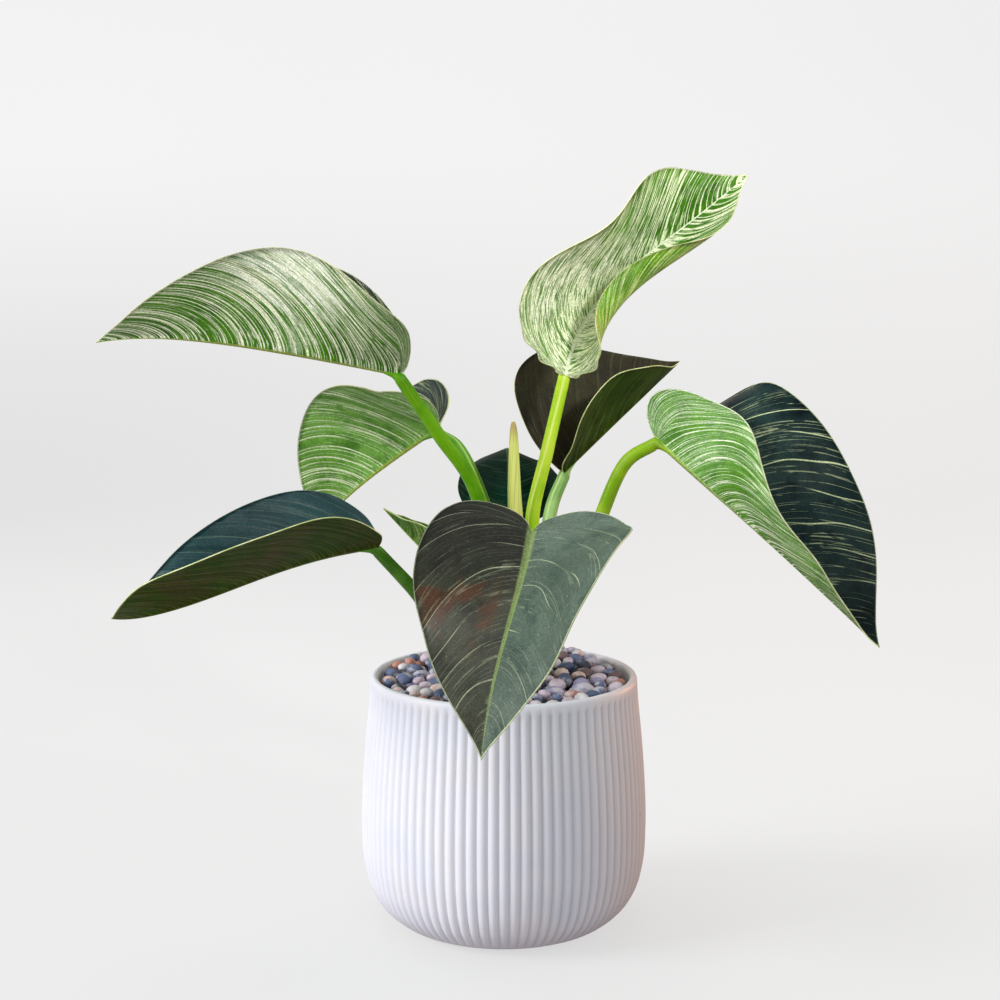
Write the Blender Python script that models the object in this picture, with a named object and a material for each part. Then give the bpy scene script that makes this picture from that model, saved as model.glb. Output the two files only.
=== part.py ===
"""Philodendron birkin in a ribbed white planter.

A filled round planter with nine heart-shaped leaves, each grown as one piece with its
petiole, a rolled new leaf and a short trunk. Metres, +Z up, the front faces -Y and the
origin is the middle of the foot.
"""
import math
import bpy
import bmesh
import numpy as np

for old in list(bpy.data.objects):
    bpy.data.objects.remove(old, do_unlink=True)

MM = 0.001
DEG = math.pi / 180.0
GAP = 0.0003

# planter
POT_HEIGHT = 0.1423
POT_WALL = 0.0045
POT_FLOOR = 0.006
RIB_COUNT = 84
RIB_DEPTH = 0.0013
RIB_LOW = 0.005
RIB_HIGH = 0.131
# height and outside radius of the planter, in millimetres, from the foot to the lip
POT_PROFILE = ((0, 50), (1.2, 54), (3, 58.5), (6, 63), (12, 69.4), (21, 74.9), (34, 78.5),
               (57, 80), (85, 79.1), (110, 77.1), (130, 75.1), (138, 74.6))
INSIDE_STEPS = (0.110, 0.057, 0.025, 0.013)

# filling
MIX_TOP = 0.124
BED_TOP = 0.1365
PEBBLE_SEED = 11
PEBBLE_STEP = 0.0128

# trunk
STEM_X = 0.008
STEM_Y = 0.0
STEM_FOOT = 0.100
STEM_RINGS = ((100, 15), (136, 15), (146, 13), (154, 12), (172, 11), (180, 9.5), (184, 6.5))

# leaves: half the thickness of a blade and the widths of a petiole
BLADE_HALF = 0.00045
PETIOLE_FOOT = 4.7
PETIOLE_HEAD = 3.4

# one entry a leaf, lengths in millimetres and angles in degrees:
# heading and rise of the midrib at its base, droop and sweep along it (first half, second half,
# middle), folds of the halves against the midrib at even steps from base to tip, curls of the
# halves from midrib to margin, where the petiole leaves the trunk (heading, height) and the
# points it passes
LEAVES = {
    "leaf_upper_left": dict(
        base=(-55, -31, 313), length=176, half_left=62, half_right=57,
        lobe=0.03, taper=0.32, heading=182, rise=11, roll=-9, twist=15,
        droop=(3, 17, -4), sweep=(-22, -12, 22),
        fold_left=(56, 62, 71, 45, 47), fold_right=(19, 61, 30),
        curl_left=(0,), curl_right=(0,), across=3,
        foot=(195, 170), via=((-14, -12, 243), (-35, -22, 279)),
    ),
    "leaf_middle_left": dict(
        base=(-39, 28, 276), length=107, half_left=58, half_right=48,
        lobe=0.15, taper=0.38, heading=158, rise=-34, roll=-4, twist=-3,
        droop=(2, 12, -2), sweep=(-9, -13, 7),
        fold_left=(40, 72, 49), fold_right=(45, 34, 37),
        curl_left=(0,), curl_right=(0,), across=3,
        foot=(140, 166), via=((-8, 13, 221), (-16, 20, 247), (-26, 26, 266)),
    ),
    "leaf_lower_left": dict(
        base=(-67, -56, 224), length=159, half_left=49, half_right=39,
        lobe=0.02, taper=0.4, heading=193, rise=-6, roll=-9, twist=8,
        droop=(24, -10, -4), sweep=(-23, -38, 54),
        fold_left=(35, 42, 42, 51, 33), fold_right=(29, 74, 40),
        curl_left=(0,), curl_right=(0,), across=3,
        foot=(208, 155), via=((-33, -27, 177), (-50, -46, 201)),
    ),
    "leaf_upper_right": dict(
        base=(34, 4, 309), length=159, half_left=58, half_right=39,
        lobe=0.02, taper=0.54, heading=73, rise=60, roll=48, twist=1,
        droop=(-33, -2, -13), sweep=(-31, 4, -15),
        fold_left=(19, 33, 42, 11, -5), fold_right=(51, 33, 21, 20, 45),
        curl_left=(0,), curl_right=(80, 186, 87), across=5,
        foot=(-12, 166), via=((25, -3, 183), (20, 0, 206), (16, 2, 230), (24, 3, 267)),
    ),
    "leaf_back_right": dict(
        base=(34, 37, 251), length=109, half_left=61, half_right=49,
        lobe=0.04, taper=0.32, heading=36, rise=35, roll=17, twist=-3,
        droop=(-1, 13, -1), sweep=(1, 9, -5),
        fold_left=(55, 45, 39), fold_right=(60, 67, 31),
        curl_left=(0,), curl_right=(0,), across=3,
        foot=(50, 166), via=((22, 19, 198), (27, 31, 230)),
    ),
    "leaf_right": dict(
        base=(84, -15, 275), length=168, half_left=67, half_right=41,
        lobe=0.14, taper=0.44, heading=-28, rise=-38, roll=0, twist=12,
        droop=(-5, 0, 0), sweep=(-10, -6, -1),
        fold_left=(19, 63, 41, 34, 18), fold_right=(99, 70, 39, 46, 57),
        curl_left=(0,), curl_right=(45, 30, 37), across=4,
        foot=(-25, 152), via=((34, -7, 178), (46, -6, 207), (54, -9, 234), (66, -13, 262)),
    ),
    "leaf_front": dict(
        base=(14, -94, 238), length=128, half_left=62, half_right=55,
        lobe=0.11, taper=0.33, heading=-101, rise=-39, roll=-1, twist=13,
        droop=(13, 7, 2), sweep=(-4, 2, -12),
        fold_left=(10, 32, 35, 19, 2), fold_right=(22, 8, -9, 0, 11),
        curl_left=(0,), curl_right=(0,), across=3,
        foot=(-85, 162), via=((12, -38, 194), (14, -68, 227)),
    ),
    "leaf_back": dict(
        base=(4, 42, 225), length=100, half_left=31, half_right=31,
        lobe=0.05, taper=0.40, heading=92, rise=72, roll=0, twist=0,
        droop=(70, 30, 0), sweep=(0, 0, 0),
        fold_left=(-8, -20, -24), fold_right=(-8, -20, -24),
        curl_left=(0,), curl_right=(0,), across=3,
        foot=(95, 160), via=((8, 27, 180), (6, 38, 203)), stout=0.85,
    ),
    "leaf_small_left": dict(
        base=(-24, -40, 203), length=58, half_left=21, half_right=21,
        lobe=0.1, taper=0.34, heading=196, rise=38, roll=0, twist=0,
        droop=(-10, 0, 0), sweep=(0, 0, 0),
        fold_left=(35, 40, 30), fold_right=(35, 40, 30),
        curl_left=(0,), curl_right=(0,), across=3,
        foot=(240, 150), via=((-6, -27, 170), (-15, -35, 189)), stout=0.6,
    ),
}
ROWS = 14
SINUS_SHARE = 0.30
WIDEST = 0.26


def material(name, colour, rough=0.5, sheen=0.0):
    """A Principled material of one colour."""
    mat = bpy.data.materials.new(name)
    mat.use_nodes = True
    shader = mat.node_tree.nodes["Principled BSDF"]
    shader.inputs["Base Color"].default_value = (*colour, 1.0)
    shader.inputs["Roughness"].default_value = rough
    shader.inputs["Coat Weight"].default_value = sheen
    mat.diffuse_color = (*colour, 1.0)
    return mat


GLAZE = material("white_glaze", (0.78, 0.78, 0.80), 0.35)
SOIL = material("potting_soil", (0.035, 0.025, 0.018), 0.95)
STONE = material("river_pebble", (0.26, 0.26, 0.31), 0.6)
BARK = material("green_trunk", (0.10, 0.16, 0.05), 0.6)
LEAF_PALE = material("leaf_cream_green", (0.32, 0.44, 0.16), 0.4)
LEAF_LIGHT = material("leaf_light_green", (0.16, 0.30, 0.08), 0.4)
LEAF_DARK = material("leaf_dark_green", (0.025, 0.065, 0.045), 0.3)
SPEAR = material("leaf_spear_yellow", (0.45, 0.50, 0.20), 0.4)


def add_object(name, verts, faces, mat, smooth=True):
    """One closed mesh object from plain lists, faces turned outward."""
    mesh = bpy.data.meshes.new(name)
    mesh.from_pydata([tuple(v) for v in verts], [], faces)
    mesh.materials.append(mat)
    bm = bmesh.new()
    bm.from_mesh(mesh)
    bmesh.ops.recalc_face_normals(bm, faces=bm.faces)
    for face in bm.faces:
        face.smooth = smooth
    bm.to_mesh(mesh)
    bm.free()
    obj = bpy.data.objects.new(name, mesh)
    bpy.context.scene.collection.objects.link(obj)
    return obj


def boolean(obj, other, operation="UNION"):
    """Applies one Boolean and removes the second object."""
    mod = obj.modifiers.new("join", "BOOLEAN")
    mod.operation = operation
    mod.solver = "EXACT"
    mod.object = other
    bpy.context.view_layer.update()
    graph = bpy.context.evaluated_depsgraph_get()
    mesh = bpy.data.meshes.new_from_object(obj.evaluated_get(graph))
    obj.modifiers.clear()
    obj.data = mesh
    bpy.data.objects.remove(other, do_unlink=True)
    return obj


def tidy(obj, reach=0.00004):
    """Welds what a Boolean leaves closer than a hair and makes triangles."""
    bm = bmesh.new()
    bm.from_mesh(obj.data)
    bmesh.ops.remove_doubles(bm, verts=bm.verts, dist=reach)
    bmesh.ops.dissolve_degenerate(bm, edges=bm.edges, dist=reach)
    bmesh.ops.triangulate(bm, faces=bm.faces)
    bm.to_mesh(obj.data)
    bm.free()
    return obj


def stitched(rings):
    """Faces between rings of points whose counts are multiples of each other, ends closed.

    Each ring is a list of indices that run the same way round.
    """
    faces = []
    for low, high in zip(rings[:-1], rings[1:]):
        a, b = len(low), len(high)
        if a == b:
            for k in range(a):
                n = (k + 1) % a
                faces.append((low[k], low[n], high[n], high[k]))
            continue
        few, many = (low, high) if a < b else (high, low)
        step = len(many) // len(few)
        for k in range(len(few)):
            n = (k + 1) % len(few)
            half = step // 2
            for j in range(step):
                one = many[(k * step + j) % len(many)]
                two = many[(k * step + j + 1) % len(many)]
                faces.append((few[k] if j < half else few[n], one, two))
            faces.append((few[k], many[(k * step + half) % len(many)], few[n]))
    faces.append(tuple(rings[0]))
    faces.append(tuple(rings[-1]))
    return faces


def pot_radius(z):
    """Outside radius of the planter at a height, without ribs."""
    table = np.array(POT_PROFILE) * MM
    return float(np.interp(z, table[:, 0], table[:, 1]))


def build_pot():
    """Ribbed bowl: outside rings with a ridge and a groove a rib, a rounded lip, a plain inside."""
    verts, rings = [], []

    def ring(z, radius, count, groove=0.0):
        turn = 2 * math.pi / count
        start = len(verts)
        for k in range(count):
            r = radius - (groove if k % 2 else 0.0)
            a = k * turn - math.pi / 2
            verts.append((r * math.cos(a), r * math.sin(a), z))
        rings.append(list(range(start, start + count)))

    fine, plain, inner = 2 * RIB_COUNT, RIB_COUNT, RIB_COUNT // 2
    for z_mm, r_mm in POT_PROFILE:
        z = z_mm * MM
        ribbed = RIB_LOW < z < RIB_HIGH
        ring(z, r_mm * MM, fine if ribbed else plain, RIB_DEPTH if ribbed else 0.0)
    lip = pot_radius(0.138)
    ring(0.1410, lip - 0.0003, plain)
    ring(POT_HEIGHT, lip - 0.0016, plain)
    ring(POT_HEIGHT, lip - POT_WALL + 0.0012, plain)
    ring(POT_HEIGHT - 0.0012, lip - POT_WALL, plain)
    for z in INSIDE_STEPS:
        ring(z, pot_radius(z) - POT_WALL - 0.0008, inner)
    ring(POT_FLOOR, pot_radius(0.010) - POT_WALL - 0.004, inner)
    return add_object("pot", verts, stitched(rings), GLAZE)


def lathe(name, profile, count, mat, centre=(0.0, 0.0), turn=0.0, smooth=True):
    """Closed solid of revolution from (height, radius) pairs."""
    verts, rings = [], []
    for z, radius in profile:
        start = len(verts)
        for k in range(count):
            a = 2 * math.pi * k / count + turn
            verts.append((centre[0] + radius * math.cos(a), centre[1] + radius * math.sin(a), z))
        rings.append(list(range(start, start + count)))
    return add_object(name, verts, stitched(rings), mat, smooth)


def filling_radius(z):
    """Radius that clears the inside of the planter by the gap, facets included."""
    inside = pot_radius(min(z, 0.138)) - POT_WALL - 0.0008
    return inside * math.cos(math.pi / RIB_COUNT * 2) - GAP


def stem_radius(z):
    """Radius of the trunk at a height."""
    table = np.array(STEM_RINGS) * MM
    return float(np.interp(z, table[:, 0], table[:, 1]))


def stem_hole(name, low, high):
    """Plain round hole that clears the trunk by the gap."""
    radius = 0.0150 / math.cos(math.pi / 24) + GAP
    return lathe(name, ((low, radius), (high, radius)), 24, SOIL, (STEM_X, STEM_Y))


def build_mix():
    """Soil that fills the planter up to the pebbles, with the hole of the trunk."""
    low = POT_FLOOR + GAP
    rows = [(low, pot_radius(0.010) - POT_WALL - 0.004 - 0.0008)]
    for z in INSIDE_STEPS[::-1]:
        rows.append((z, filling_radius(z) - 0.0002))
    rows.append((MIX_TOP, filling_radius(MIX_TOP) - 0.0002))
    mix = lathe("potting_mix", rows, RIB_COUNT // 2, SOIL, (0, 0), -math.pi / 2)
    return tidy(boolean(mix, stem_hole("mix_hole", STEM_FOOT - GAP, 0.2), "DIFFERENCE"))


def pebble(centre, size, seed):
    """A rounded stone: a squashed and turned icosahedron ball with uneven corners."""
    bm = bmesh.new()
    bmesh.ops.create_icosphere(bm, subdivisions=1, radius=1.0)
    rng = np.random.default_rng(seed)
    scale = size * np.array([1.0, rng.uniform(0.72, 0.95), rng.uniform(0.55, 0.75)])
    turn = rng.uniform(0, 2 * math.pi)
    tilt = rng.uniform(-0.35, 0.35)
    verts = []
    for v in bm.verts:
        p = np.array(v.co) * scale * rng.uniform(0.93, 1.05)
        y, z = p[1] * math.cos(tilt) - p[2] * math.sin(tilt), p[1] * math.sin(tilt) + p[2] * math.cos(tilt)
        x, y = p[0] * math.cos(turn) - y * math.sin(turn), p[0] * math.sin(turn) + y * math.cos(turn)
        verts.append((centre[0] + x, centre[1] + y, centre[2] + z))
    faces = [[v.index for v in f.verts] for f in bm.faces]
    bm.free()
    return verts, faces


def bed_height(x, y):
    """Height of the pebble tops: a low heap that rises toward the back."""
    r = math.hypot(x, y)
    return BED_TOP + 0.0075 - 0.0035 * (r / 0.070) ** 2 + 0.14 * max(y, 0.0) * (1 - (r / 0.074) ** 8)


def pebble_places():
    """Loose hexagonal rows with seeded shifts: (x, y, size, seed) of each stone."""
    rng = np.random.default_rng(PEBBLE_SEED)
    places = []
    rows = int(0.15 / (PEBBLE_STEP * 0.87))
    for j in range(-rows // 2, rows // 2 + 1):
        for i in range(-8, 9):
            x = (i + 0.5 * (j % 2)) * PEBBLE_STEP + rng.uniform(-0.0019, 0.0019)
            y = j * PEBBLE_STEP * 0.87 + rng.uniform(-0.0019, 0.0019)
            size = rng.uniform(0.0054, 0.0070)
            seed = int(rng.integers(1, 99999))
            if math.hypot(x, y) > 0.0675 - size * 0.55:
                continue
            if math.hypot(x - STEM_X, y - STEM_Y) < 0.0172 + size:
                continue
            places.append((x, y, size, seed))
    return places


def build_pebbles():
    """Bed of stones: a low heap over the soil with every stone sunk into it, made one solid."""
    low = MIX_TOP + GAP
    rim = filling_radius(0.130) - 0.0004
    verts, rings = [], []
    for share in (1.0, 0.999, 0.78, 0.52, 0.26):
        start = len(verts)
        for k in range(RIB_COUNT // 2):
            a = 2 * math.pi * k / (RIB_COUNT // 2) - math.pi / 2
            x, y = rim * share * math.cos(a), rim * share * math.sin(a)
            verts.append((x, y, low if share == 1.0 else bed_height(x, y) - 0.0048))
        rings.append(list(range(start, start + RIB_COUNT // 2)))
    bed = add_object("pebbles", verts, stitched(rings), STONE, False)
    stones = bpy.data.collections.new("stones")
    bpy.context.scene.collection.children.link(stones)
    made = []
    for x, y, size, seed in pebble_places():
        verts, faces = pebble((x, y, bed_height(x, y) - size * 0.62), size, seed)
        stone = add_object("stone", verts, faces, STONE, False)
        bpy.context.scene.collection.objects.unlink(stone)
        stones.objects.link(stone)
        made.append(stone)
    mod = bed.modifiers.new("join", "BOOLEAN")
    mod.operation = "UNION"
    mod.solver = "EXACT"
    mod.operand_type = "COLLECTION"
    mod.collection = stones
    bpy.context.view_layer.update()
    graph = bpy.context.evaluated_depsgraph_get()
    mesh = bpy.data.meshes.new_from_object(bed.evaluated_get(graph))
    bed.modifiers.clear()
    bed.data = mesh
    for stone in made:
        bpy.data.objects.remove(stone, do_unlink=True)
    bpy.data.collections.remove(stones)
    boolean(bed, stem_hole("bed_hole", 0.1, 0.2), "DIFFERENCE")
    return tidy(bed, 0.00006)


def build_stem():
    """Short upright trunk that narrows upward."""
    rows = [(z * MM, r * MM) for z, r in STEM_RINGS]
    return lathe("stem", rows, 20, BARK, (STEM_X, STEM_Y))


def through(values, s):
    """Smooth curve through values at even steps from 0 to 1."""
    s = np.asarray(s, float)
    if len(values) == 1:
        return values[0] + 0 * s
    knots = np.linspace(0, 1, len(values))
    total = 0 * s
    for i, value in enumerate(values):
        term = value + 0 * s
        for j, knot in enumerate(knots):
            if j != i:
                term = term * (s - knot) / (knots[i] - knot)
        total = total + term
    return total


def bezier(points, t):
    """Cubic Bezier through four plane points."""
    t = t[..., None]
    a, b, c, d = [np.array(p, float) for p in points]
    return (1 - t) ** 3 * a + 3 * (1 - t) ** 2 * t * b + 3 * (1 - t) * t * t * c + t ** 3 * d


def margin(leaf, t, half):
    """Flat margin of one half: round the lobe to the widest place, then on to the tip."""
    length, lobe, taper = leaf["length"] * MM, leaf["lobe"], leaf["taper"]
    split = 0.42

    def p(x, y):
        return (x * length, y * half)

    lobe_part = bezier((p(0, 0), p(-1.35 * lobe, 0.12), p(-1.25 * lobe, 1.0), p(WIDEST, 1.0)),
                       np.clip(t / split, 0, 1))
    tip_part = bezier((p(WIDEST, 1.0), p(WIDEST + taper, 1.0), p(0.80, 0.22 * taper / 0.34), p(1, 0)),
                      np.clip((t - split) / (1 - split), 0, 1))
    return np.where((t < split)[..., None], lobe_part, tip_part)


def flat_blade(leaf, t, v, half):
    """Flat place a share v of the way out along the vein that ends at margin share t."""
    edge = margin(leaf, t, half)
    rib = leaf["length"] * MM * np.clip((t - SINUS_SHARE) / (1 - SINUS_SHARE), 0, 1) ** 1.1
    mid_x = rib + 0.30 * (edge[..., 0] - rib)
    mid_y = 0.55 * edge[..., 1]
    x = (1 - v) ** 2 * rib + 2 * v * (1 - v) * mid_x + v * v * edge[..., 0]
    y = 2 * v * (1 - v) * mid_y + v * v * edge[..., 1]
    return x, y


def turned(axis, angle):
    """Matrix of a turn about a unit axis."""
    a = axis / np.linalg.norm(axis)
    k = np.array([[0, -a[2], a[1]], [a[2], 0, -a[0]], [-a[1], a[0], 0]])
    return np.eye(3) + math.sin(angle) * k + (1 - math.cos(angle)) * k @ k


def midrib(leaf, steps=24):
    """Points and (along, left, up) frames of the midrib from base to tip."""
    az, el = leaf["heading"] * DEG, leaf["rise"] * DEG
    along = np.array([math.cos(el) * math.cos(az), math.cos(el) * math.sin(az), math.sin(el)])
    up = np.array([-math.sin(el) * math.cos(az), -math.sin(el) * math.sin(az), math.cos(el)])
    up = turned(along, leaf["roll"] * DEG) @ up
    left = np.cross(up, along)
    point = np.array(leaf["base"], float) * MM
    points, frames = [point], [(along, left, up)]
    for i in range(steps):
        s = (i + 0.5) / steps
        parts = np.array([2 * (1 - s), 2 * s, math.pi / 2 * math.sin(2 * math.pi * s)])
        droop = float(parts @ np.array(leaf["droop"])) / steps * DEG
        sweep = float(parts @ np.array(leaf["sweep"])) / steps * DEG
        turn = turned(left, droop) @ turned(up, sweep) @ turned(along, leaf["twist"] / steps * DEG)
        before = along
        along, left, up = turn @ along, turn @ left, turn @ up
        way = before + along
        point = point + way / np.linalg.norm(way) * leaf["length"] * MM / steps
        points.append(point)
        frames.append((along, left, up))
    return np.array(points), np.array(frames)


def bent(leaf, side, x, y, spine):
    """Flat points of one half (side +1 left, -1 right) bent into place."""
    points, frames = spine
    steps = len(points) - 1
    u = np.clip(x / (leaf["length"] * MM), 0, 1) * steps
    i = np.minimum(u.astype(int), steps - 1)
    f = (u - i)[..., None]
    centre = points[i] * (1 - f) + points[i + 1] * f
    along, left, up = [frames[i, k] * (1 - f) + frames[i + 1, k] * f for k in range(3)]
    centre = centre + np.minimum(x, 0)[..., None] * along
    name = "left" if side > 0 else "right"
    s = np.clip(x / (leaf["length"] * MM), 0, 1)
    fold = through(leaf["fold_" + name], s) * DEG
    bend = through(leaf["curl_" + name], s) * DEG / (leaf["half_" + name] * MM)
    bend = np.where(np.abs(bend) < 1e-6, 1e-6, bend)
    end = fold + bend * y
    out = (np.sin(end) - np.sin(fold)) / bend
    lift = (np.cos(fold) - np.cos(end)) / bend
    return centre + side * left * out[..., None] + up * lift[..., None]


def blade_solid(leaf, spine):
    """Both halves as one thin closed solid, alike triangles on both faces."""
    across = leaf["across"]
    t, v = np.meshgrid(np.linspace(0, 1, ROWS + 1), np.linspace(0, 1, across + 1), indexing="ij")
    halves = []
    for side, name in ((1, "half_left"), (-1, "half_right")):
        x, y = flat_blade(leaf, t, v, leaf[name] * MM)
        halves.append(bent(leaf, side, x, y, spine))
    places, index = [], []
    for side in (0, 1):
        ids = np.zeros((ROWS + 1, across + 1), int)
        for i in range(ROWS + 1):
            for j in range(across + 1):
                t_here = t[i, j]
                if i == 0 or (j == 0 and t_here <= SINUS_SHARE + 1e-9):
                    if not places:
                        places.append(halves[side][0, 0])
                    ids[i, j] = 0
                elif i == ROWS:
                    if j == 0 and side == 0:
                        places.append(halves[side][i, 0])
                        tip = len(places) - 1
                    ids[i, j] = tip
                elif j == 0 and side == 1:
                    ids[i, j] = index[0][i, 0]
                else:
                    places.append(halves[side][i, j])
                    ids[i, j] = len(places) - 1
        index.append(ids)
    places = np.array(places)
    tris, owner = [], []
    for side, ids in enumerate(index):
        for i in range(ROWS):
            for j in range(across):
                quad = [ids[i, j], ids[i + 1, j], ids[i + 1, j + 1], ids[i, j + 1]]
                if side:
                    quad = quad[::-1]
                ring = [q for k, q in enumerate(quad) if q != quad[k - 1]]
                if len(ring) >= 3:
                    tris.append((ring[0], ring[1], ring[2]))
                    owner.append(side)
                if len(ring) == 4:
                    tris.append((ring[0], ring[2], ring[3]))
                    owner.append(side)
    tris, owner = np.array(tris), np.array(owner)
    cross = np.cross(places[tris[:, 1]] - places[tris[:, 0]], places[tris[:, 2]] - places[tris[:, 0]])
    parts = np.zeros((2, len(places), 3))
    for side in (0, 1):
        mine = owner == side
        for k in range(3):
            np.add.at(parts[side], tris[mine, k], cross[mine])
    parts /= np.maximum(np.linalg.norm(parts, axis=2), 1e-12)[..., None]
    normals = parts[0] + parts[1]
    normals /= np.linalg.norm(normals, axis=1)[:, None]
    on_rib = np.zeros(len(places), bool)
    share = np.zeros(len(places))
    for i in range(ROWS + 1):
        on_rib[index[0][i, 0]] = True
        share[index[0][i, 0]] = i / ROWS
    mitre = np.ones(len(places))
    mitre[on_rib] = 1 / np.maximum((parts[0] * normals).sum(axis=1)[on_rib], 0.4)
    mitre[0] = 1.0
    above = BLADE_HALF * mitre
    below = BLADE_HALF * mitre
    below[on_rib] += 0.0008 * (1 - share[on_rib])
    below[0] = BLADE_HALF
    top = places + normals * above[:, None]
    bottom = places - normals * below[:, None]
    count = len(places)
    faces = [tuple(f) for f in tris] + [tuple(f[::-1] + count) for f in tris]
    rim = [int(q) for q in index[0][1:, across]] + [int(q) for q in index[1][1:-1, across][::-1]]
    rim = [0] + rim
    for k, a in enumerate(rim):
        b = rim[(k + 1) % len(rim)]
        faces += [(a, b, b + count), (a, b + count, a + count)]
    return np.concatenate([top, bottom]), faces


def smooth_path(points, per=5):
    """Catmull-Rom curve through the points."""
    p = np.array(points, float)
    p = np.vstack([2 * p[0] - p[1], p, 2 * p[-1] - p[-2]])
    out = []
    for i in range(1, len(p) - 2):
        for k in range(per):
            f = k / per
            out.append(0.5 * ((2 * p[i]) + (p[i + 1] - p[i - 1]) * f
                              + (2 * p[i - 1] - 5 * p[i] + 4 * p[i + 1] - p[i + 2]) * f * f
                              + (3 * p[i] - p[i - 1] - 3 * p[i + 1] + p[i + 2]) * f ** 3))
    out.append(p[-2])
    return np.array(out)


def tube(path, radii, sides=8, cap=None):
    """Closed round bar along a path; cap is the direction its first end faces away from."""
    path = np.array(path)
    way = np.gradient(path, axis=0)
    way /= np.linalg.norm(way, axis=1)[:, None]
    if cap is not None:
        gone = np.linalg.norm(path - path[0], axis=1)
        share = np.clip(gone / 0.018, 0, 1)[:, None]
        way = way * share + np.array(cap) * (1 - share)
        way /= np.linalg.norm(way, axis=1)[:, None]
    side = np.cross(way[len(way) // 2], (0.3, 1.0, 0.2))
    verts, rings = [], []
    for k, (point, along, radius) in enumerate(zip(path, way, radii)):
        side = side - along * (side @ along)
        side /= np.linalg.norm(side)
        other = np.cross(along, side)
        start = len(verts)
        for j in range(sides):
            a = 2 * math.pi * j / sides
            verts.append(point + radius * (math.cos(a) * side + math.sin(a) * other))
        rings.append(list(range(start, start + sides)))
    return verts, stitched(rings)


def petiole_path(leaf, spine):
    """From the trunk through the points of the leaf, then a short way under the midrib."""
    turn, height = leaf["foot"][0] * DEG, leaf["foot"][1] * MM
    out = np.array([math.cos(turn), math.sin(turn), 0.0])
    first = np.array([STEM_X, STEM_Y, height]) + out * (stem_radius(height - 0.005) + GAP + 0.0001)
    points, frames = spine
    length = leaf["length"] * MM
    steps = len(points) - 1

    def under(distance, depth):
        u = distance / length * steps
        i = int(u)
        f = u - i
        left, right = [float(through(leaf[key], i / steps)) * DEG for key in ("fold_left", "fold_right")]
        inward = frames[i, 1] * (math.cos(left) - math.cos(right)) + frames[i, 2] * (math.sin(left) + math.sin(right))
        return points[i] * (1 - f) + points[i + 1] * f - inward / np.linalg.norm(inward) * depth

    head = PETIOLE_HEAD * leaf.get("stout", 1.0) * MM
    via = [first] + [np.array(q, float) * MM for q in leaf["via"]] + [under(0.0, head * 0.7)]
    path = smooth_path(via, 4)
    tail = [under(0.006, head * 0.62), under(0.014, head * 0.42), under(0.024, head * 0.25)]
    path = np.vstack([path, tail])
    foot = PETIOLE_FOOT * leaf.get("stout", 1.0) * MM
    grown = np.linspace(0, 1, len(path) - 3)
    radii = list(foot + (head - foot) * grown ** 0.7) + [head * 0.80, head * 0.52, head * 0.30]
    return path, radii, out


def build_leaf(name, leaf, mat):
    """Petiole and blade grown together."""
    spine = midrib(leaf)
    verts, faces = blade_solid(leaf, spine)
    blade = add_object(name, verts, faces, mat)
    path, radii, out = petiole_path(leaf, spine)
    bar_verts, bar_faces = tube(path, radii, 8, out)
    bar = add_object(name + "_petiole", bar_verts, bar_faces, mat)
    return tidy(boolean(blade, bar))


def build_spear():
    """Rolled new leaf that stands on the trunk."""
    path = smooth_path([(0.0080, -0.0005, 0.1844), (0.0076, -0.0020, 0.2050), (0.0062, -0.0060, 0.2400),
                        (0.0052, -0.0080, 0.2845)], 4)
    share = np.linspace(0, 1, len(path))
    radii = np.interp(share, (0, 0.12, 0.45, 0.73, 0.94, 1.0), (4.0, 4.7, 4.6, 3.9, 2.4, 1.0)) * MM
    verts, faces = tube(path, radii, 10)
    return add_object("new_leaf", verts, faces, SPEAR)


build_pot()
build_mix()
build_pebbles()
build_stem()
for leaf_name, leaf_data in LEAVES.items():
    if leaf_name in ("leaf_upper_left", "leaf_upper_right"):
        leaf_mat = LEAF_PALE
    elif leaf_name in ("leaf_middle_left", "leaf_small_left"):
        leaf_mat = LEAF_LIGHT
    else:
        leaf_mat = LEAF_DARK
    build_leaf(leaf_name, leaf_data, leaf_mat)
build_spear()
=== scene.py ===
# %% [markdown]
# # A variegated houseplant in a ribbed pot
#
# This lesson dresses a plain CAD plant: nine heart-shaped leaves, a rolled new leaf and a
# short trunk, in a white reeded planter topped with river pebbles. Every shape is a formula
# on a grid of two parameters and every finish is a tree of shader nodes. The CAD model is
# loaded first as a fixed frame, in metres, and nothing in it is moved.

import math

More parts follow.
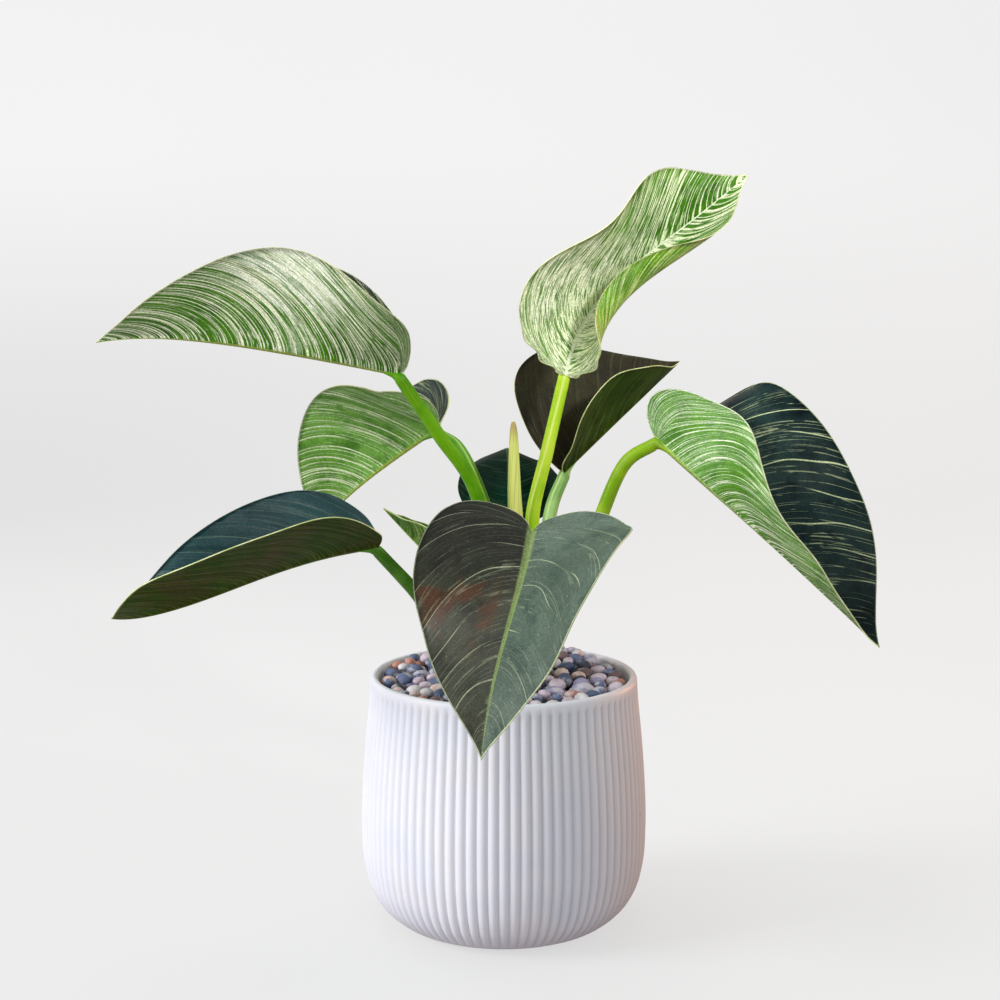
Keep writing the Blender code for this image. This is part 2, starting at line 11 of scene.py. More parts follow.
import bmesh
import bpy
import numpy as np
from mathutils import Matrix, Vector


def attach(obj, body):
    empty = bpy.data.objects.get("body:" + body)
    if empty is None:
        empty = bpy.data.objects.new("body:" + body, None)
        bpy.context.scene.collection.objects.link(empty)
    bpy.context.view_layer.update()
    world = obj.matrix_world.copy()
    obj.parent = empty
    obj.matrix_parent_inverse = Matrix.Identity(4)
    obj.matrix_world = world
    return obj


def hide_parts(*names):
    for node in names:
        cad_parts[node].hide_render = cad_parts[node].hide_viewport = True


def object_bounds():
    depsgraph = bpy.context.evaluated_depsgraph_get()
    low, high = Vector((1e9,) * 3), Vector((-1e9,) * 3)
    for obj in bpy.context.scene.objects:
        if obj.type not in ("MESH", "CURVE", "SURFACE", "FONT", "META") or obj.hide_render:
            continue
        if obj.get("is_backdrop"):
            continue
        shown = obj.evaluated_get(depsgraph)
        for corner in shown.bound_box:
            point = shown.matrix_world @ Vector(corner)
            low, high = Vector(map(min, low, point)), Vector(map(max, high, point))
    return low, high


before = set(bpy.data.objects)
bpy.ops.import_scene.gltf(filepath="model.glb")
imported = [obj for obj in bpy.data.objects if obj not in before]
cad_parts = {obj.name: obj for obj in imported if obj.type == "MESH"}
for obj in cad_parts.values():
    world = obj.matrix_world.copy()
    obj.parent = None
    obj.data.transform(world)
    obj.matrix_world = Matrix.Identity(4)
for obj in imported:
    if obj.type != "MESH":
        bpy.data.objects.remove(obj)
cad_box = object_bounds()
MM = 0.001
DEG = math.pi / 180.0
print("CAD nodes:", sorted(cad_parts))
print("CAD box:", [[round(float(c), 4) for c in corner] for corner in cad_box])

# %% [markdown]
# ## Camera
#
# The camera stands a little over a metre away and looks down by eight and a half degrees,
# which is what the ellipse of the pot's rim and the curve of its foot ask for.

# %% Camera
LOOK_DOWN = 8.575
cam_data = bpy.data.cameras.new("camera")
cam_data.lens = 75.0
cam_data.sensor_width = 36.0
cam = bpy.data.objects.new("camera", cam_data)
cam.location = (-0.0021, -1.1381, 0.4118)
cam.rotation_euler = ((90 - LOOK_DOWN) * DEG, 0.0, 0.0)
bpy.context.scene.collection.objects.link(cam)
bpy.context.scene.camera = cam
bpy.context.scene.view_settings.view_transform = "Standard"
bpy.context.scene.view_settings.look = "None"
print("camera at", [round(c, 3) for c in cam.location])

# %% [markdown]
# ## Colours and meshes
#
# Colours are written as screen values from 0 to 255. A piece is a set of arrays: points,
# faces and maps that its finish reads. Most pieces are rings joined into a closed tube.


# %% Colours and curves
def tint(red, green, blue):
    """Screen colour 0 to 255 turned into the linear light that shaders use."""
    c = np.array([red, green, blue]) / 255.0
    linear = np.where(c <= 0.04045, c / 12.92, ((c + 0.055) / 1.055) ** 2.4)
    return (float(linear[0]), float(linear[1]), float(linear[2]), 1.0)


def smooth_step(low, high, x):
    """0 below low, 1 above high, and between them 3 s squared less 2 s cubed."""
    s = np.clip((x - low) / (high - low), 0, 1)
    return s * s * (3 - 2 * s)


def circle(count):
    """Angles of count points round a full turn, the first not repeated."""
    return np.linspace(0, 2 * math.pi, count, endpoint=False)


print("white is", [round(c, 3) for c in tint(255, 255, 255)[:3]], "in linear light")


# %% Meshes
def grid_quads(ids, around=False):
    """Quads between the rows and columns of an index grid; around joins the last column to the first."""
    if around:
        ids = np.concatenate([ids, ids[:, :1]], axis=1)
    return np.stack([ids[:-1, :-1], ids[:-1, 1:], ids[1:, 1:], ids[1:, :-1]], axis=-1).reshape(-1, 4)


def closed_tube(rings, first, last):
    """Points and faces of rings (n, m, 3) joined to a tube, with a fan to a point at each end."""
    n, m = rings.shape[:2]
    ids = np.arange(n * m).reshape(n, m)
    near, far = ids[0], ids[-1]
    caps = np.concatenate([np.stack([np.roll(near, -1), near, np.full(m, n * m)], -1),
                           np.stack([far, np.roll(far, -1), np.full(m, n * m + 1)], -1)])
    return np.vstack([rings.reshape(-1, 3), first, last]), [grid_quads(ids, True), caps]


def make_piece(name, points, faces, materials, slots=None, maps=None):
    """Mesh object from points (n, 3), a list of face arrays and maps; faces of slot 2 are flat shaded."""
    mesh = bpy.data.meshes.new(name)
    mesh.from_pydata(points.tolist(), [], [face for group in faces for face in group.tolist()])
    mesh.validate()
    slots = np.zeros(len(mesh.polygons)) if slots is None else slots
    for material in materials:
        mesh.materials.append(material)
    mesh.polygons.foreach_set("material_index", slots.astype(np.int32))
    mesh.polygons.foreach_set("use_smooth", slots != 2)
    for key, values in (maps or {}).items():
        kind, field = ("FLOAT_VECTOR", "vector") if values.ndim == 2 else ("FLOAT", "value")
        layer = mesh.attributes.new(key, kind, "POINT")
        layer.data.foreach_set(field, values.astype(np.float32).reshape(-1))
    piece = bpy.data.objects.new(name, mesh)
    bpy.context.scene.collection.objects.link(piece)
    return piece


tube = closed_tube(np.zeros((2, 3, 3)), *np.zeros((2, 1, 3)))
print("a tube of 2 rings of 3 points has", len(tube[0]), "points")

# %% [markdown]
# ## Shader helpers
#
# A node tree is easier to read as a formula. A `Wire` is an output socket that can be
# added, subtracted and multiplied like a number, each sign adding one Math node. `Net` adds
# the other nodes and gives back the wire that leaves them.


# %% Wires
class Wire:
    """An output socket of a node tree that takes part in formulas."""

    def __init__(self, net, socket):
        self.net, self.socket = net, socket

    def __add__(self, other):
        return self.net.maths("ADD", self, other)

    def __sub__(self, other):
        return self.net.maths("SUBTRACT", self, other)

    def __rsub__(self, other):
        return self.net.maths("SUBTRACT", other, self)

    def __mul__(self, other):
        return self.net.maths("MULTIPLY", self, other)

    def __abs__(self):
        return self.net.maths("ABSOLUTE", self)


print("signs that a wire knows: + - * and abs")


# %% Nets
class Net:
    """A short way to write node trees."""

    def __init__(self, tree):
        self.tree = tree

    def put(self, socket, value):
        """Links a wire to an input, or sets the input's own number or screen colour."""
        if isinstance(value, Wire):
            self.tree.links.new(value.socket, socket)
        else:
            socket.default_value = tint(*value) if isinstance(value, tuple) else value

    def add(self, kind, inputs=None, output=0, **settings):
        """New node; gives one output wire, or the node itself where output is None."""
        node = self.tree.nodes.new(kind)
        for key, value in settings.items():
            setattr(node, key, value)
        for key, value in (inputs or {}).items():
            self.put(node.inputs[key], value)
        return node if output is None else Wire(self, node.outputs[output])

    def wires(self, node):
        """Output wires of a node by their names."""
        return {socket.name: Wire(self, socket) for socket in node.outputs}

    def maths(self, operation, a, b=0, c=0):
        """One Math node on up to three numbers."""
        return self.add("ShaderNodeMath", {0: a, 1: b, 2: c}, operation=operation)

    def paint(self, colour, *coats):
        """A colour under coats of paint, each given by its share and its colour."""
        for share, coat in coats:
            colour = self.add("ShaderNodeMix", {0: share, 6: colour, 7: coat}, 2, data_type="RGBA")
        return colour

    def ramp(self, value, low, high, start=0, end=1):
        """Smooth change of a number from start to end while value goes from low to high."""
        ends = {"Value": value, "From Min": low, "From Max": high, "To Min": start, "To Max": end}
        return self.add("ShaderNodeMapRange", ends, "Result", interpolation_type="SMOOTHSTEP")

    def noise(self, vector, scale, detail=2, rough=0.5, distortion=0):
        """Soft noise from 0 to 1 with a number of cells per unit."""
        return self.add("ShaderNodeTexNoise", {"Vector": vector, "Scale": scale, "Detail": detail,
                                               "Roughness": rough, "Distortion": distortion}, "Fac")

    def stretched(self, place, across, along, detail=1, rough=0.5):
        """Noise with its own number of cells per unit on the first two axes of a place."""
        x, y, z = place
        place = self.add("ShaderNodeCombineXYZ", {0: x * across, 1: y * along, 2: z})
        return self.noise(place, 1, detail, rough)

    def split(self, vector):
        """The three parts of a vector."""
        return list(self.wires(self.add("ShaderNodeSeparateXYZ", {0: vector}, None)).values())

    def number(self, name, output="Fac"):
        """A map of the mesh as one number."""
        return self.add("ShaderNodeAttribute", None, output, attribute_type="GEOMETRY", attribute_name=name)

    def place(self, name):
        """A map of the mesh as three numbers."""
        return self.split(self.number(name, "Vector"))

    def here(self):
        """Object coordinates, in metres."""
        return self.add("ShaderNodeTexCoord", None, "Object")

    def use(self, group, *inputs):
        """Places a node group with its inputs in their order; gives its outputs by name."""
        node = self.add("ShaderNodeGroup", None, None, node_tree=group)
        for socket, value in zip(node.inputs, inputs):
            self.put(socket, value)
        return self.wires(node)

    def finish(self, colour, height=None, strength=1, distance=1, rough=None):
        """Gives the Principled shader its colour and, where given, its bump and roughness."""
        self.put(self.shader["Base Color"], colour)
        if height is not None:
            bump = {"Strength": strength, "Distance": distance, "Height": height}
            self.put(self.shader["Normal"], self.add("ShaderNodeBump", bump))
        if rough is not None:
            self.put(self.shader["Roughness"], rough)


print("a net adds nodes, paints coats, ramps numbers, makes noise and reads maps")


# %% New groups and materials
def new_group(name, inputs, outputs):
    """Shader node group with named sockets: inputs {name: default}, outputs [names]."""
    tree = bpy.data.node_groups.new(name, "ShaderNodeTree")
    for key, value in inputs.items():
        kind = "NodeSocketColor" if isinstance(value, tuple) else "NodeSocketFloat"
        tree.interface.new_socket(key, in_out="INPUT", socket_type=kind).default_value = value
    for key in outputs:
        kind = "NodeSocketColor" if key == "Color" else "NodeSocketFloat"
        tree.interface.new_socket(key, in_out="OUTPUT", socket_type=kind)
    net = Net(tree)
    got = net.wires(net.add("NodeGroupInput", output=None))
    return tree, net, got, net.add("NodeGroupOutput", output=None).inputs


def new_material(name, rough=0.5):
    """Material with a Principled shader, and its net."""
    material = bpy.data.materials.new(name)
    material.use_nodes = True
    net = Net(material.node_tree)
    net.shader = material.node_tree.nodes["Principled BSDF"].inputs
    net.shader["Roughness"].default_value = rough
    return material, net


print("groups and materials can be made")

# %% [markdown]
# ## The veins as a coordinate system
#
# The cream pinstripes of this plant run along its side veins: out from the midrib, then
# curving toward the tip. A pattern in plain space can't follow them, so each leaf carries a
# map. `vein_map` holds how far along the margin a vein ends, how far out along it a point
# is, and a number for each leaf. Noise stretched in it becomes streaks along the veins.

# %% Node group: streaks along the veins
streaks, net, got, out = new_group(
    "vein_streaks",
    {"Amount": 0.5, "Lines per m": 700.0, "Breaks per m": 30.0, "Softness": 0.08, "Shift": 0.0}, ["Mask"])
vein_x, vein_y, leaf_number = net.place("vein_map")
place = (vein_x, vein_y, leaf_number + got["Shift"])
level = net.stretched(place, got["Lines per m"], got["Breaks per m"], 2, 0.6)
limit = 1 - got["Amount"]
net.put(out["Mask"], net.ramp(level, limit - got["Softness"], limit + got["Softness"]))
print("group vein_streaks has", len(streaks.nodes), "nodes")

# %% [markdown]
# The thinnest pinstripes are contour lines: where stretched noise crosses one level, a line
# runs on for a long way and never repeats its spacing. A second noise breaks it.

# %% Node group: thin lines along the veins
threads, net, got, out = new_group(
    "vein_threads", {"Lines per m": 300.0, "Breaks per m": 10.0, "Width": 0.03, "Gaps": 0.5}, ["Mask"])
vein = net.place("vein_map")
level = net.stretched(vein, got["Lines per m"], got["Breaks per m"])
line = net.ramp(abs(level - 0.5), got["Width"] * 0.3, got["Width"], 1, 0)
keep = net.ramp(net.stretched(vein, 500, 140), got["Gaps"] - 0.12, got["Gaps"] + 0.04)
net.put(out["Mask"], line * keep)
print("group vein_threads has", len(threads.nodes), "nodes")

# %% [markdown]
# Main side veins come at nearly even steps, so they are the fraction of a count along the
# margin, pushed about by noise. The map `leaf_place` holds how far along the leaf a point
# is, how far from the midrib and how far from the margin, which gives those two lines. The
# same count gives the soft swelling of the skin between two veins.

# %% Node group: main side veins, midrib and margin line
marks, net, got, out = new_group(
    "leaf_marks", {"Veins": 60.0, "Vein width": 0.02, "Rib mm": 2.2, "Edge mm": 0.7},
    ["Vein", "Rib", "Edge", "Relief"])
vein = net.place("vein_map")
place_x, place_y, to_edge = net.place("leaf_place")
turns = vein[0] * got["Veins"] + net.stretched(vein, 38, 22) * 0.8
gap = abs(net.maths("FRACT", turns) - 0.5)
fade = net.ramp(net.stretched(vein, 110, 26), 0.36, 0.56)
net.put(out["Vein"], net.ramp(gap, got["Vein width"] * 0.35, got["Vein width"], 1, 0) * fade)
rib_half = got["Rib mm"] * (net.maths("POWER", 1.03 - place_x, 0.9) * MM)
net.put(out["Rib"], net.ramp(abs(place_y), rib_half * 0.55, rib_half, 1, 0))
edge_width = got["Edge mm"] * MM
net.put(out["Edge"], net.ramp(to_edge, edge_width * 0.5, edge_width, 1, 0))
swelling = net.maths("COSINE", turns * (2 * math.pi)) * 0.35
net.put(out["Relief"], swelling + net.ramp(gap, 0, 0.16, -1, 0) * 0.5)
print("group leaf_marks has", len(marks.nodes), "nodes")

# %% [markdown]
# No natural surface has one even colour. Here one colour drifts into two others in clouds
# of a chosen size. Leaves, bark, glaze and soil all use this group.

# %% Node group: cloudy change of one colour into two others
clouds, net, got, out = new_group(
    "clouds", {"Base": (0.5, 0.5, 0.5, 1.0), "Second": (0.4, 0.4, 0.4, 1.0), "Third": (0.6, 0.6, 0.6, 1.0),
               "Size": 30.0, "Spread": 0.12}, ["Color", "Value"])
first = net.noise(net.here(), got["Size"], 2, 0.55)
second = net.noise(net.here(), got["Size"] * 2.7, 3, 0.6)
step_one = net.ramp(first, 0.5 - got["Spread"], got["Spread"] + 0.5)
step_two = net.ramp(second, 0.58 - got["Spread"], got["Spread"] + 0.58)
net.put(out["Color"], net.paint(got["Base"], (step_one, got["Second"]), (step_two, got["Third"])))
net.put(out["Value"], second)
print("group clouds has", len(clouds.nodes), "nodes")

# %% [markdown]
# ## Leaf finishes
#
# The upper side is dark blue-green and satin, the under side lighter. Cream comes as a few
# clear side veins with fine dashes between them. A painted image would blur from close by,
# so the pattern is made of nodes, which stay sharp. The two highest leaves are mostly
# cream, with green left over as streaks. A thin cream line runs round every margin. On the
# front leaf one half is greyer, a painted sheen, and the other has a nearly black lobe and
# brown patches, a painted reflection.

# %% Halves and rust of the front leaf
LEAF_CLOUD, LEAF_SPREAD = 26, 0.16


def two_halves(net, colour, place, grey, rust):
    """Painted grey sheen where y > 0; below it a dark lobe near the base, painted brown reflection off the
    midrib.
    """
    x, y = place[:2]
    spots = net.noise(net.here(), 46, 2, 0.5, 0.5)
    beside_rib = net.ramp(y, -0.005, -0.014) * (net.ramp(x, 0.66, 0.40) * net.ramp(x, 0.14, 0.26))
    grey = net.use(clouds, *grey, LEAF_CLOUD, LEAF_SPREAD)["Color"]
    # grey clouds on one half are a painted sheen; the brown patches beside the midrib are a painted
    # reflection
    return net.paint(colour, (net.ramp(y, -0.002, 0.002), grey),
                     (net.ramp(x, 0.36, 0.02, 0, 0.75) * net.ramp(y, 0, -0.004), (30, 30, 28)),
                     (net.ramp(spots, 0.50, 0.66, 0, 0.7) * beside_rib, rust))


print("leaf clouds:", LEAF_CLOUD, "per metre")


# %% Leaf finish
def leaf_finish(name, greens, cream, rib, wash=0, wash_colour=None, across=0, centre=0.4, fall=0,
                rib_wash=0, flecks=0.45, fleck_share=0.8, thread=0.6, thread_width=0.035, threads_per_m=300,
                gaps=0.42, dashes=0.25, dash_share=0.5, dash_lines=640, dash_breaks=110, veins=55,
                vein_width=0.035, vein_share=0.8, rib_mm=2.2, edge_mm=0.8, edge_share=0.8, rough=0.36,
                relief=0.35, gloss=0.25, grey=None, rust=None, tip_share=1, tip_value=1):
    """One side of a leaf: green clouds, then dashes, wash, threads, side veins, midrib and margin over them.

    The wash is widest at the centre along the leaf, less by fall times the distance from there, more by
    across times the distance from the midrib. Toward the tip, tip_share thins it and tip_value darkens all.
    """
    material, net = new_material(name, rough)
    green = net.use(clouds, *greens, LEAF_CLOUD, LEAF_SPREAD)
    place = net.place("leaf_place")
    place_x, off_rib = place[0], abs(place[1])
    # The front leaf gets a painted grey sheen on one half and patches of painted brown reflection.
    colour = green["Color"] if rust is None else two_halves(net, green["Color"], place, grey, rust)
    dash = net.use(streaks, dashes, dash_lines, dash_breaks, 0.05, 3)["Mask"]
    dash = dash * net.ramp(place_x, 0.45, 0.85, dash_share, dash_share * tip_share)
    colour = net.paint(colour, (dash, cream))
    if wash > 0:
        more = off_rib * across - abs(place_x - centre) * fall + wash
        more = more + net.ramp(off_rib, 0.003, 0.016, rib_wash, 0)
        more = more - net.ramp(place_x, 0.5, 0.85, 0, 0.4 * (1 - tip_share))
        area = net.use(streaks, more, 95, 26, 0.09)["Mask"]
        fleck = net.use(streaks, flecks, 760, 130, 0.04, 9)["Mask"]
        colour = net.paint(colour, (area * (1 - fleck * fleck_share), wash_colour or cream))
    lines = net.use(marks, veins, vein_width, rib_mm, edge_mm)
    fine = net.use(threads, threads_per_m, 9, thread_width, gaps)["Mask"]
    colour = net.paint(colour, (fine * thread, cream), (lines["Vein"] * vein_share, cream),
                       (lines["Rib"] * 0.92, rib), (lines["Edge"] * edge_share, cream))
    grain = net.noise(net.here(), 1100, 2, 0.7)
    value = net.ramp(grain, 0.32, 0.68, 0.74, 1.26) * net.ramp(place_x, 0.35, 0.95, 1, tip_value)
    colour = net.add("ShaderNodeHueSaturation", {"Saturation": 1.08, "Value": value, "Color": colour})
    net.finish(colour, lines["Relief"] + grain * 0.10, relief, 0.0006,
               net.ramp(green["Value"], 0.3, 0.7, rough - 0.05, rough + 0.08))
    net.shader["Specular IOR Level"].default_value = gloss
    return material


print("a leaf finish is green under dashes, wash, threads, veins, midrib and margin")

# %% [markdown]
# Every leaf has its own mix, set by its age and also, as painted light and shade, by how
# brightly the lamps reach it. Each row is one side of a leaf: three greens, the cream, the
# midrib's colour, and what differs from the usual.

# %% Colours and patterns of every leaf
CREAM = (214, 224, 172)
DARK = ((18, 34, 32), (26, 46, 40), (14, 26, 27))
UNDER = ((78, 124, 34), (100, 148, 52), (62, 106, 30))
SKINS = {
    "upper_left_top": (DARK, CREAM, (140, 170, 90), dict(wash=0.3, thread=0.7)),
    "upper_left_under": (((60, 110, 22), (80, 132, 38), (44, 90, 20)), (240, 246, 214), (176, 198, 96),
        dict(wash=0.39, wash_colour=(228, 236, 216), across=4.5, centre=0.36, fall=0.9, flecks=0.46,
        thread=0.95, thread_width=0.05, threads_per_m=440, gaps=0.38, dashes=0.36, dash_share=0.6,
        veins=150, vein_width=0.09, vein_share=0.9, rib_mm=1.3, rough=0.42)),
    "middle_left_top": (DARK, CREAM, (120, 150, 90), dict(thread=0.3, vein_share=0.4)),
    "middle_left_under": (((98, 148, 60), (120, 170, 84), (72, 120, 44)), (234, 244, 208), (180, 200, 96),
        dict(wash=0.26, wash_colour=(180, 206, 146), flecks=0.4, thread=0.7, threads_per_m=380,
        dashes=0.3, dash_share=0.4, veins=110, vein_width=0.08, vein_share=0.85, rib_mm=1.8, rough=0.42)),
    "lower_left_top": (((32, 64, 68), (40, 74, 76), (26, 54, 58)), (150, 172, 150), (90, 120, 90),
        dict(thread=0.12, dash_share=0.12, vein_share=0.25, edge_mm=0.5, gloss=0.3)),
    "lower_left_under": (((42, 62, 4), (54, 54, 14), (34, 66, 2)), (150, 166, 96), (84, 104, 36),
        dict(thread=0.14, dash_share=0.1, veins=90, vein_share=0.25, rib_mm=1.2, rough=0.5, gloss=0.06)),
    # upper_right_top: lighter cream and greens, painted light for a leaf that lies in the key lamp's shade.
    "upper_right_top": (((62, 118, 18), (88, 142, 36), (44, 92, 18)), (246, 252, 214), (244, 250, 224),
        dict(wash=0.90, wash_colour=(246, 250, 220), across=-4, centre=0.22, fall=1.15, rib_wash=0.14,
        flecks=0.52, fleck_share=0.92, thread=0.85, thread_width=0.05, dashes=0.42, dash_share=0.8,
        tip_share=0.2, veins=80, vein_width=0.05, vein_share=0.6, rib_mm=1.6)),
    "upper_right_under": (((100, 150, 40), (124, 172, 62), (76, 122, 34)), (232, 242, 182),
        (190, 206, 140), dict(wash=0.42, wash_colour=(196, 214, 140), flecks=0.5, thread=0.7,
        threads_per_m=420, dashes=0.32, dash_share=0.5, veins=90, vein_width=0.06, vein_share=0.5,
        rib_mm=1.6, rough=0.42)),
    "back_right_top": (((44, 38, 28), (52, 50, 34), (36, 34, 26)), (120, 124, 84), (70, 80, 44),
        dict(thread=0.10, dash_share=0.08, vein_share=0.12, edge_mm=0.5, edge_share=0.5, gloss=0.12)),
    "back_right_under": (((30, 58, 2), (42, 70, 8), (24, 46, 4)), (150, 168, 96), (90, 116, 50),
        dict(thread=0.12, dash_share=0.08, veins=90, vein_share=0.2, rib_mm=1.4, rough=0.5, gloss=0.05)),
    "right_top": (((22, 40, 39), (44, 62, 59), (9, 17, 23)), (200, 212, 168), (120, 150, 90),
        dict(thread=0.45, thread_width=0.016, threads_per_m=260, gaps=0.48, dashes=0.28, dash_share=0.42,
        veins=50, vein_width=0.03, vein_share=0.95, edge_mm=0.6, gloss=0.05, tip_value=0.45)),
    "right_under": (((78, 126, 42), (100, 146, 66), (62, 108, 36)), (240, 247, 222), (170, 200, 110),
        dict(wash=0.30, wash_colour=(196, 220, 170), across=3.5, centre=0.35, fall=0.4, flecks=0.42,
        thread=0.85, thread_width=0.03, threads_per_m=420, dashes=0.3, dash_share=0.4, veins=130,
        vein_width=0.055, vein_share=0.85, rib_mm=1.2, rough=0.42)),
    # front_top: its grey clouds are a painted sheen and its brown patches a painted reflection.
    "front_top": (((50, 54, 43), (60, 62, 51), (38, 40, 33)), (184, 194, 162), (112, 130, 82),
        dict(thread=0.16, thread_width=0.018, threads_per_m=180, gaps=0.48, dashes=0.26, dash_share=0.75,
        dash_lines=1300, dash_breaks=330, veins=44, vein_width=0.020, vein_share=0.5, rib_mm=3.2,
        rough=0.46, relief=0.55, gloss=0.16, grey=((70, 84, 73), (82, 98, 86), (56, 72, 63)),
        rust=(78, 48, 32))),
    "front_under": (UNDER, (160, 176, 120), (140, 164, 84),
        dict(thread=0.3, dash_share=0.2, veins=90, vein_share=0.4, rib_mm=2.4)),
    "back_top": (((8, 35, 24), (16, 46, 34), (4, 26, 16)), (120, 136, 104), (70, 92, 60),
        dict(thread=0.12, dash_share=0.1, vein_share=0.2, edge_mm=0.5, gloss=0.02)),
    "back_under": (UNDER, (160, 176, 120), (130, 150, 84), dict(thread=0.3, dash_share=0.2)),
    "small_left_top": (((54, 104, 30), (70, 124, 42), (44, 86, 26)), (170, 192, 120), (130, 160, 80),
        dict(thread=0.3, dash_share=0.2)),
    "small_left_under": (((74, 112, 42), (90, 130, 54), (60, 96, 36)), (180, 200, 130), (150, 176, 90),
        dict(thread=0.3, dash_share=0.2, veins=110, vein_share=0.4, rib_mm=1)),
}
leaf_skins = {name: leaf_finish(name, *colours, **settings) for name, (*colours, settings) in SKINS.items()}
margin_skin, net = new_material("leaf_margin", 0.45)
net.finish(net.paint((206, 214, 160), (net.ramp(net.noise(net.here(), 120), 0.4, 0.6), (176, 190, 120))))
print("leaf finishes:", len(leaf_skins) + 1)

# %% [markdown]
# ## The leaf as a formula
#
# Flat on a table the blade is a heart: each half's margin is two cubic Bezier curves, one
# round the lobe and one to the tip, and side veins are quadratic curves from the midrib to
# it. The flat heart is then bent: the midrib is a space curve with its own frame, and each
# half folds up from it and may curl on the way out. The numbers, in millimetres and
# degrees, are those of the CAD source, so the fine blade lies in the plain one.

# %% Leaf sizes
LEAVES = {
    "leaf_upper_left": dict(base=(-55, -31, 313), length=176, half_left=62, half_right=57, lobe=0.03,
        taper=0.32, heading=182, rise=11, roll=-9, twist=15, droop=(3, 17, -4), sweep=(-22, -12, 22),
        fold_left=(56, 62, 71, 45, 47), fold_right=(19, 61, 30), foot=(195, 170), via=((-14, -12, 243),
        (-35, -22, 279)), lean=(0.40, 0.40)),
    "leaf_middle_left": dict(base=(-39, 28, 276), length=107, half_left=58, half_right=48, lobe=0.15,
        taper=0.38, heading=158, rise=-34, roll=-4, twist=-3, droop=(2, 12, -2), sweep=(-9, -13, 7),
        fold_left=(40, 72, 49), fold_right=(45, 34, 37), foot=(140, 166), via=((-8, 13, 221),
        (-16, 20, 247), (-26, 26, 266))),
    "leaf_lower_left": dict(base=(-67, -56, 224), length=159, half_left=49, half_right=39, lobe=0.02,
        taper=0.4, heading=193, rise=-6, roll=-9, twist=8, droop=(24, -10, -4), sweep=(-23, -38, 54),
        fold_left=(35, 42, 42, 51, 33), fold_right=(29, 74, 40), foot=(208, 155), via=((-33, -27, 177),
        (-50, -46, 201))),
    "leaf_upper_right": dict(base=(34, 4, 309), length=159, half_left=58, half_right=39, lobe=0.02,
        taper=0.54, heading=73, rise=60, roll=48, twist=1, droop=(-33, -2, -13), sweep=(-31, 4, -15),
        fold_left=(19, 33, 42, 11, -5), fold_right=(51, 33, 21, 20, 45), curl_right=(80, 186, 87),
        foot=(-12, 166), via=((25, -3, 183), (20, 0, 206), (16, 2, 230), (24, 3, 267)), frill=1.6),
    "leaf_back_right": dict(base=(34, 37, 251), length=109, half_left=61, half_right=49, lobe=0.04,
        taper=0.32, heading=36, rise=35, roll=17, twist=-3, droop=(-1, 13, -1), sweep=(1, 9, -5),
        fold_left=(55, 45, 39), fold_right=(60, 67, 31), foot=(50, 166), via=((22, 19, 198),
        (27, 31, 230))),
    "leaf_right": dict(base=(84, -15, 275), length=168, half_left=67, half_right=41, lobe=0.14,
        taper=0.44, heading=-28, rise=-38, roll=0, twist=12, droop=(-5, 0, 0), sweep=(-10, -6, -1),
        fold_left=(19, 63, 41, 34, 18), fold_right=(99, 70, 39, 42, 8), curl_right=(45, 30, 37),
        foot=(-25, 152), via=((34, -7, 178), (46, -6, 207), (54, -9, 234), (66, -13, 262)),
        lean=(0.14, 0.36)),
    "leaf_front": dict(base=(14, -94, 238), length=128, half_left=62, half_right=55, lobe=0.11,
        taper=0.33, heading=-101, rise=-39, roll=-1, twist=13, droop=(13, 7, 2), sweep=(-4, 2, -12),
        fold_left=(10, 32, 35, 19, 2), fold_right=(22, 8, -9, 0, 11), foot=(-85, 162),
        via=((12, -38, 194), (14, -68, 227))),
    "leaf_back": dict(base=(4, 42, 225), length=100, half_left=31, half_right=31, lobe=0.05, taper=0.40,
        heading=92, rise=72, roll=0, twist=0, droop=(70, 30, 0), sweep=(0, 0, 0),
        fold_left=(-8, -20, -24), fold_right=(-8, -20, -24), foot=(95, 160), via=((8, 27, 180),
        (6, 38, 203)), stout=0.85),
    "leaf_small_left": dict(base=(-24, -40, 203), length=58, half_left=21, half_right=21, lobe=0.1,
        taper=0.34, heading=196, rise=38, roll=0, twist=0, droop=(-10, 0, 0), sweep=(0, 0, 0),
        fold_left=(35, 40, 30), fold_right=(35, 40, 30), foot=(240, 150), via=((-6, -27, 170),
        (-15, -35, 189)), stout=0.6),
}
STEM_X, STEM_Y, BARK_INSET = 0.008, 0.0, 0.0006
STEM_RINGS = np.array(((100, 15), (136, 15), (146, 13), (154, 12), (172, 11), (180, 9.5), (184, 6.5))) * MM
SINUS_SHARE, LOBE_SHARE, WIDEST = 0.30, 0.42, 0.26
VEIN_START_POWER, VEIN_MID_ALONG, VEIN_MID_OUT = 1.1, 0.30, 0.55
print("leaves:", len(LEAVES))


# %% Flat heart
def through(values, s):
    """Value at s of the one polynomial that meets all the values, spread evenly from 0 to 1."""
    return np.polyval(np.polyfit(np.linspace(0, 1, len(values)), values, len(values) - 1), s)


def bezier(a, b, c, d, t):
    """Cubic Bezier curve: the points weighted by (1-t)^3, 3(1-t)^2 t, 3(1-t) t^2 and t^3."""
    t = t[..., None]
    a, b, c, d = (np.array(p, float) for p in (a, b, c, d))
    return (1 - t) ** 3 * a + 3 * (1 - t) ** 2 * t * b + 3 * (1 - t) * t * t * c + t ** 3 * d


def margin(leaf, t, half):
    """Flat margin of one half: from the sinus round the lobe to the widest place, then on to the tip."""
    lobe, taper = leaf["lobe"], leaf["taper"]
    lobe_part = bezier((0, 0), (-1.35 * lobe, 0.12), (-1.25 * lobe, 1.0), (WIDEST, 1.0),
                       np.clip(t / LOBE_SHARE, 0, 1))
    tip_part = bezier((WIDEST, 1.0), (WIDEST + taper, 1.0), (0.80, 0.22 * taper / 0.34), (1, 0),
                      np.clip((t - LOBE_SHARE) / (1 - LOBE_SHARE), 0, 1))
    return np.where((t < LOBE_SHARE)[..., None], lobe_part, tip_part) * np.array([leaf["length"] * MM, half])


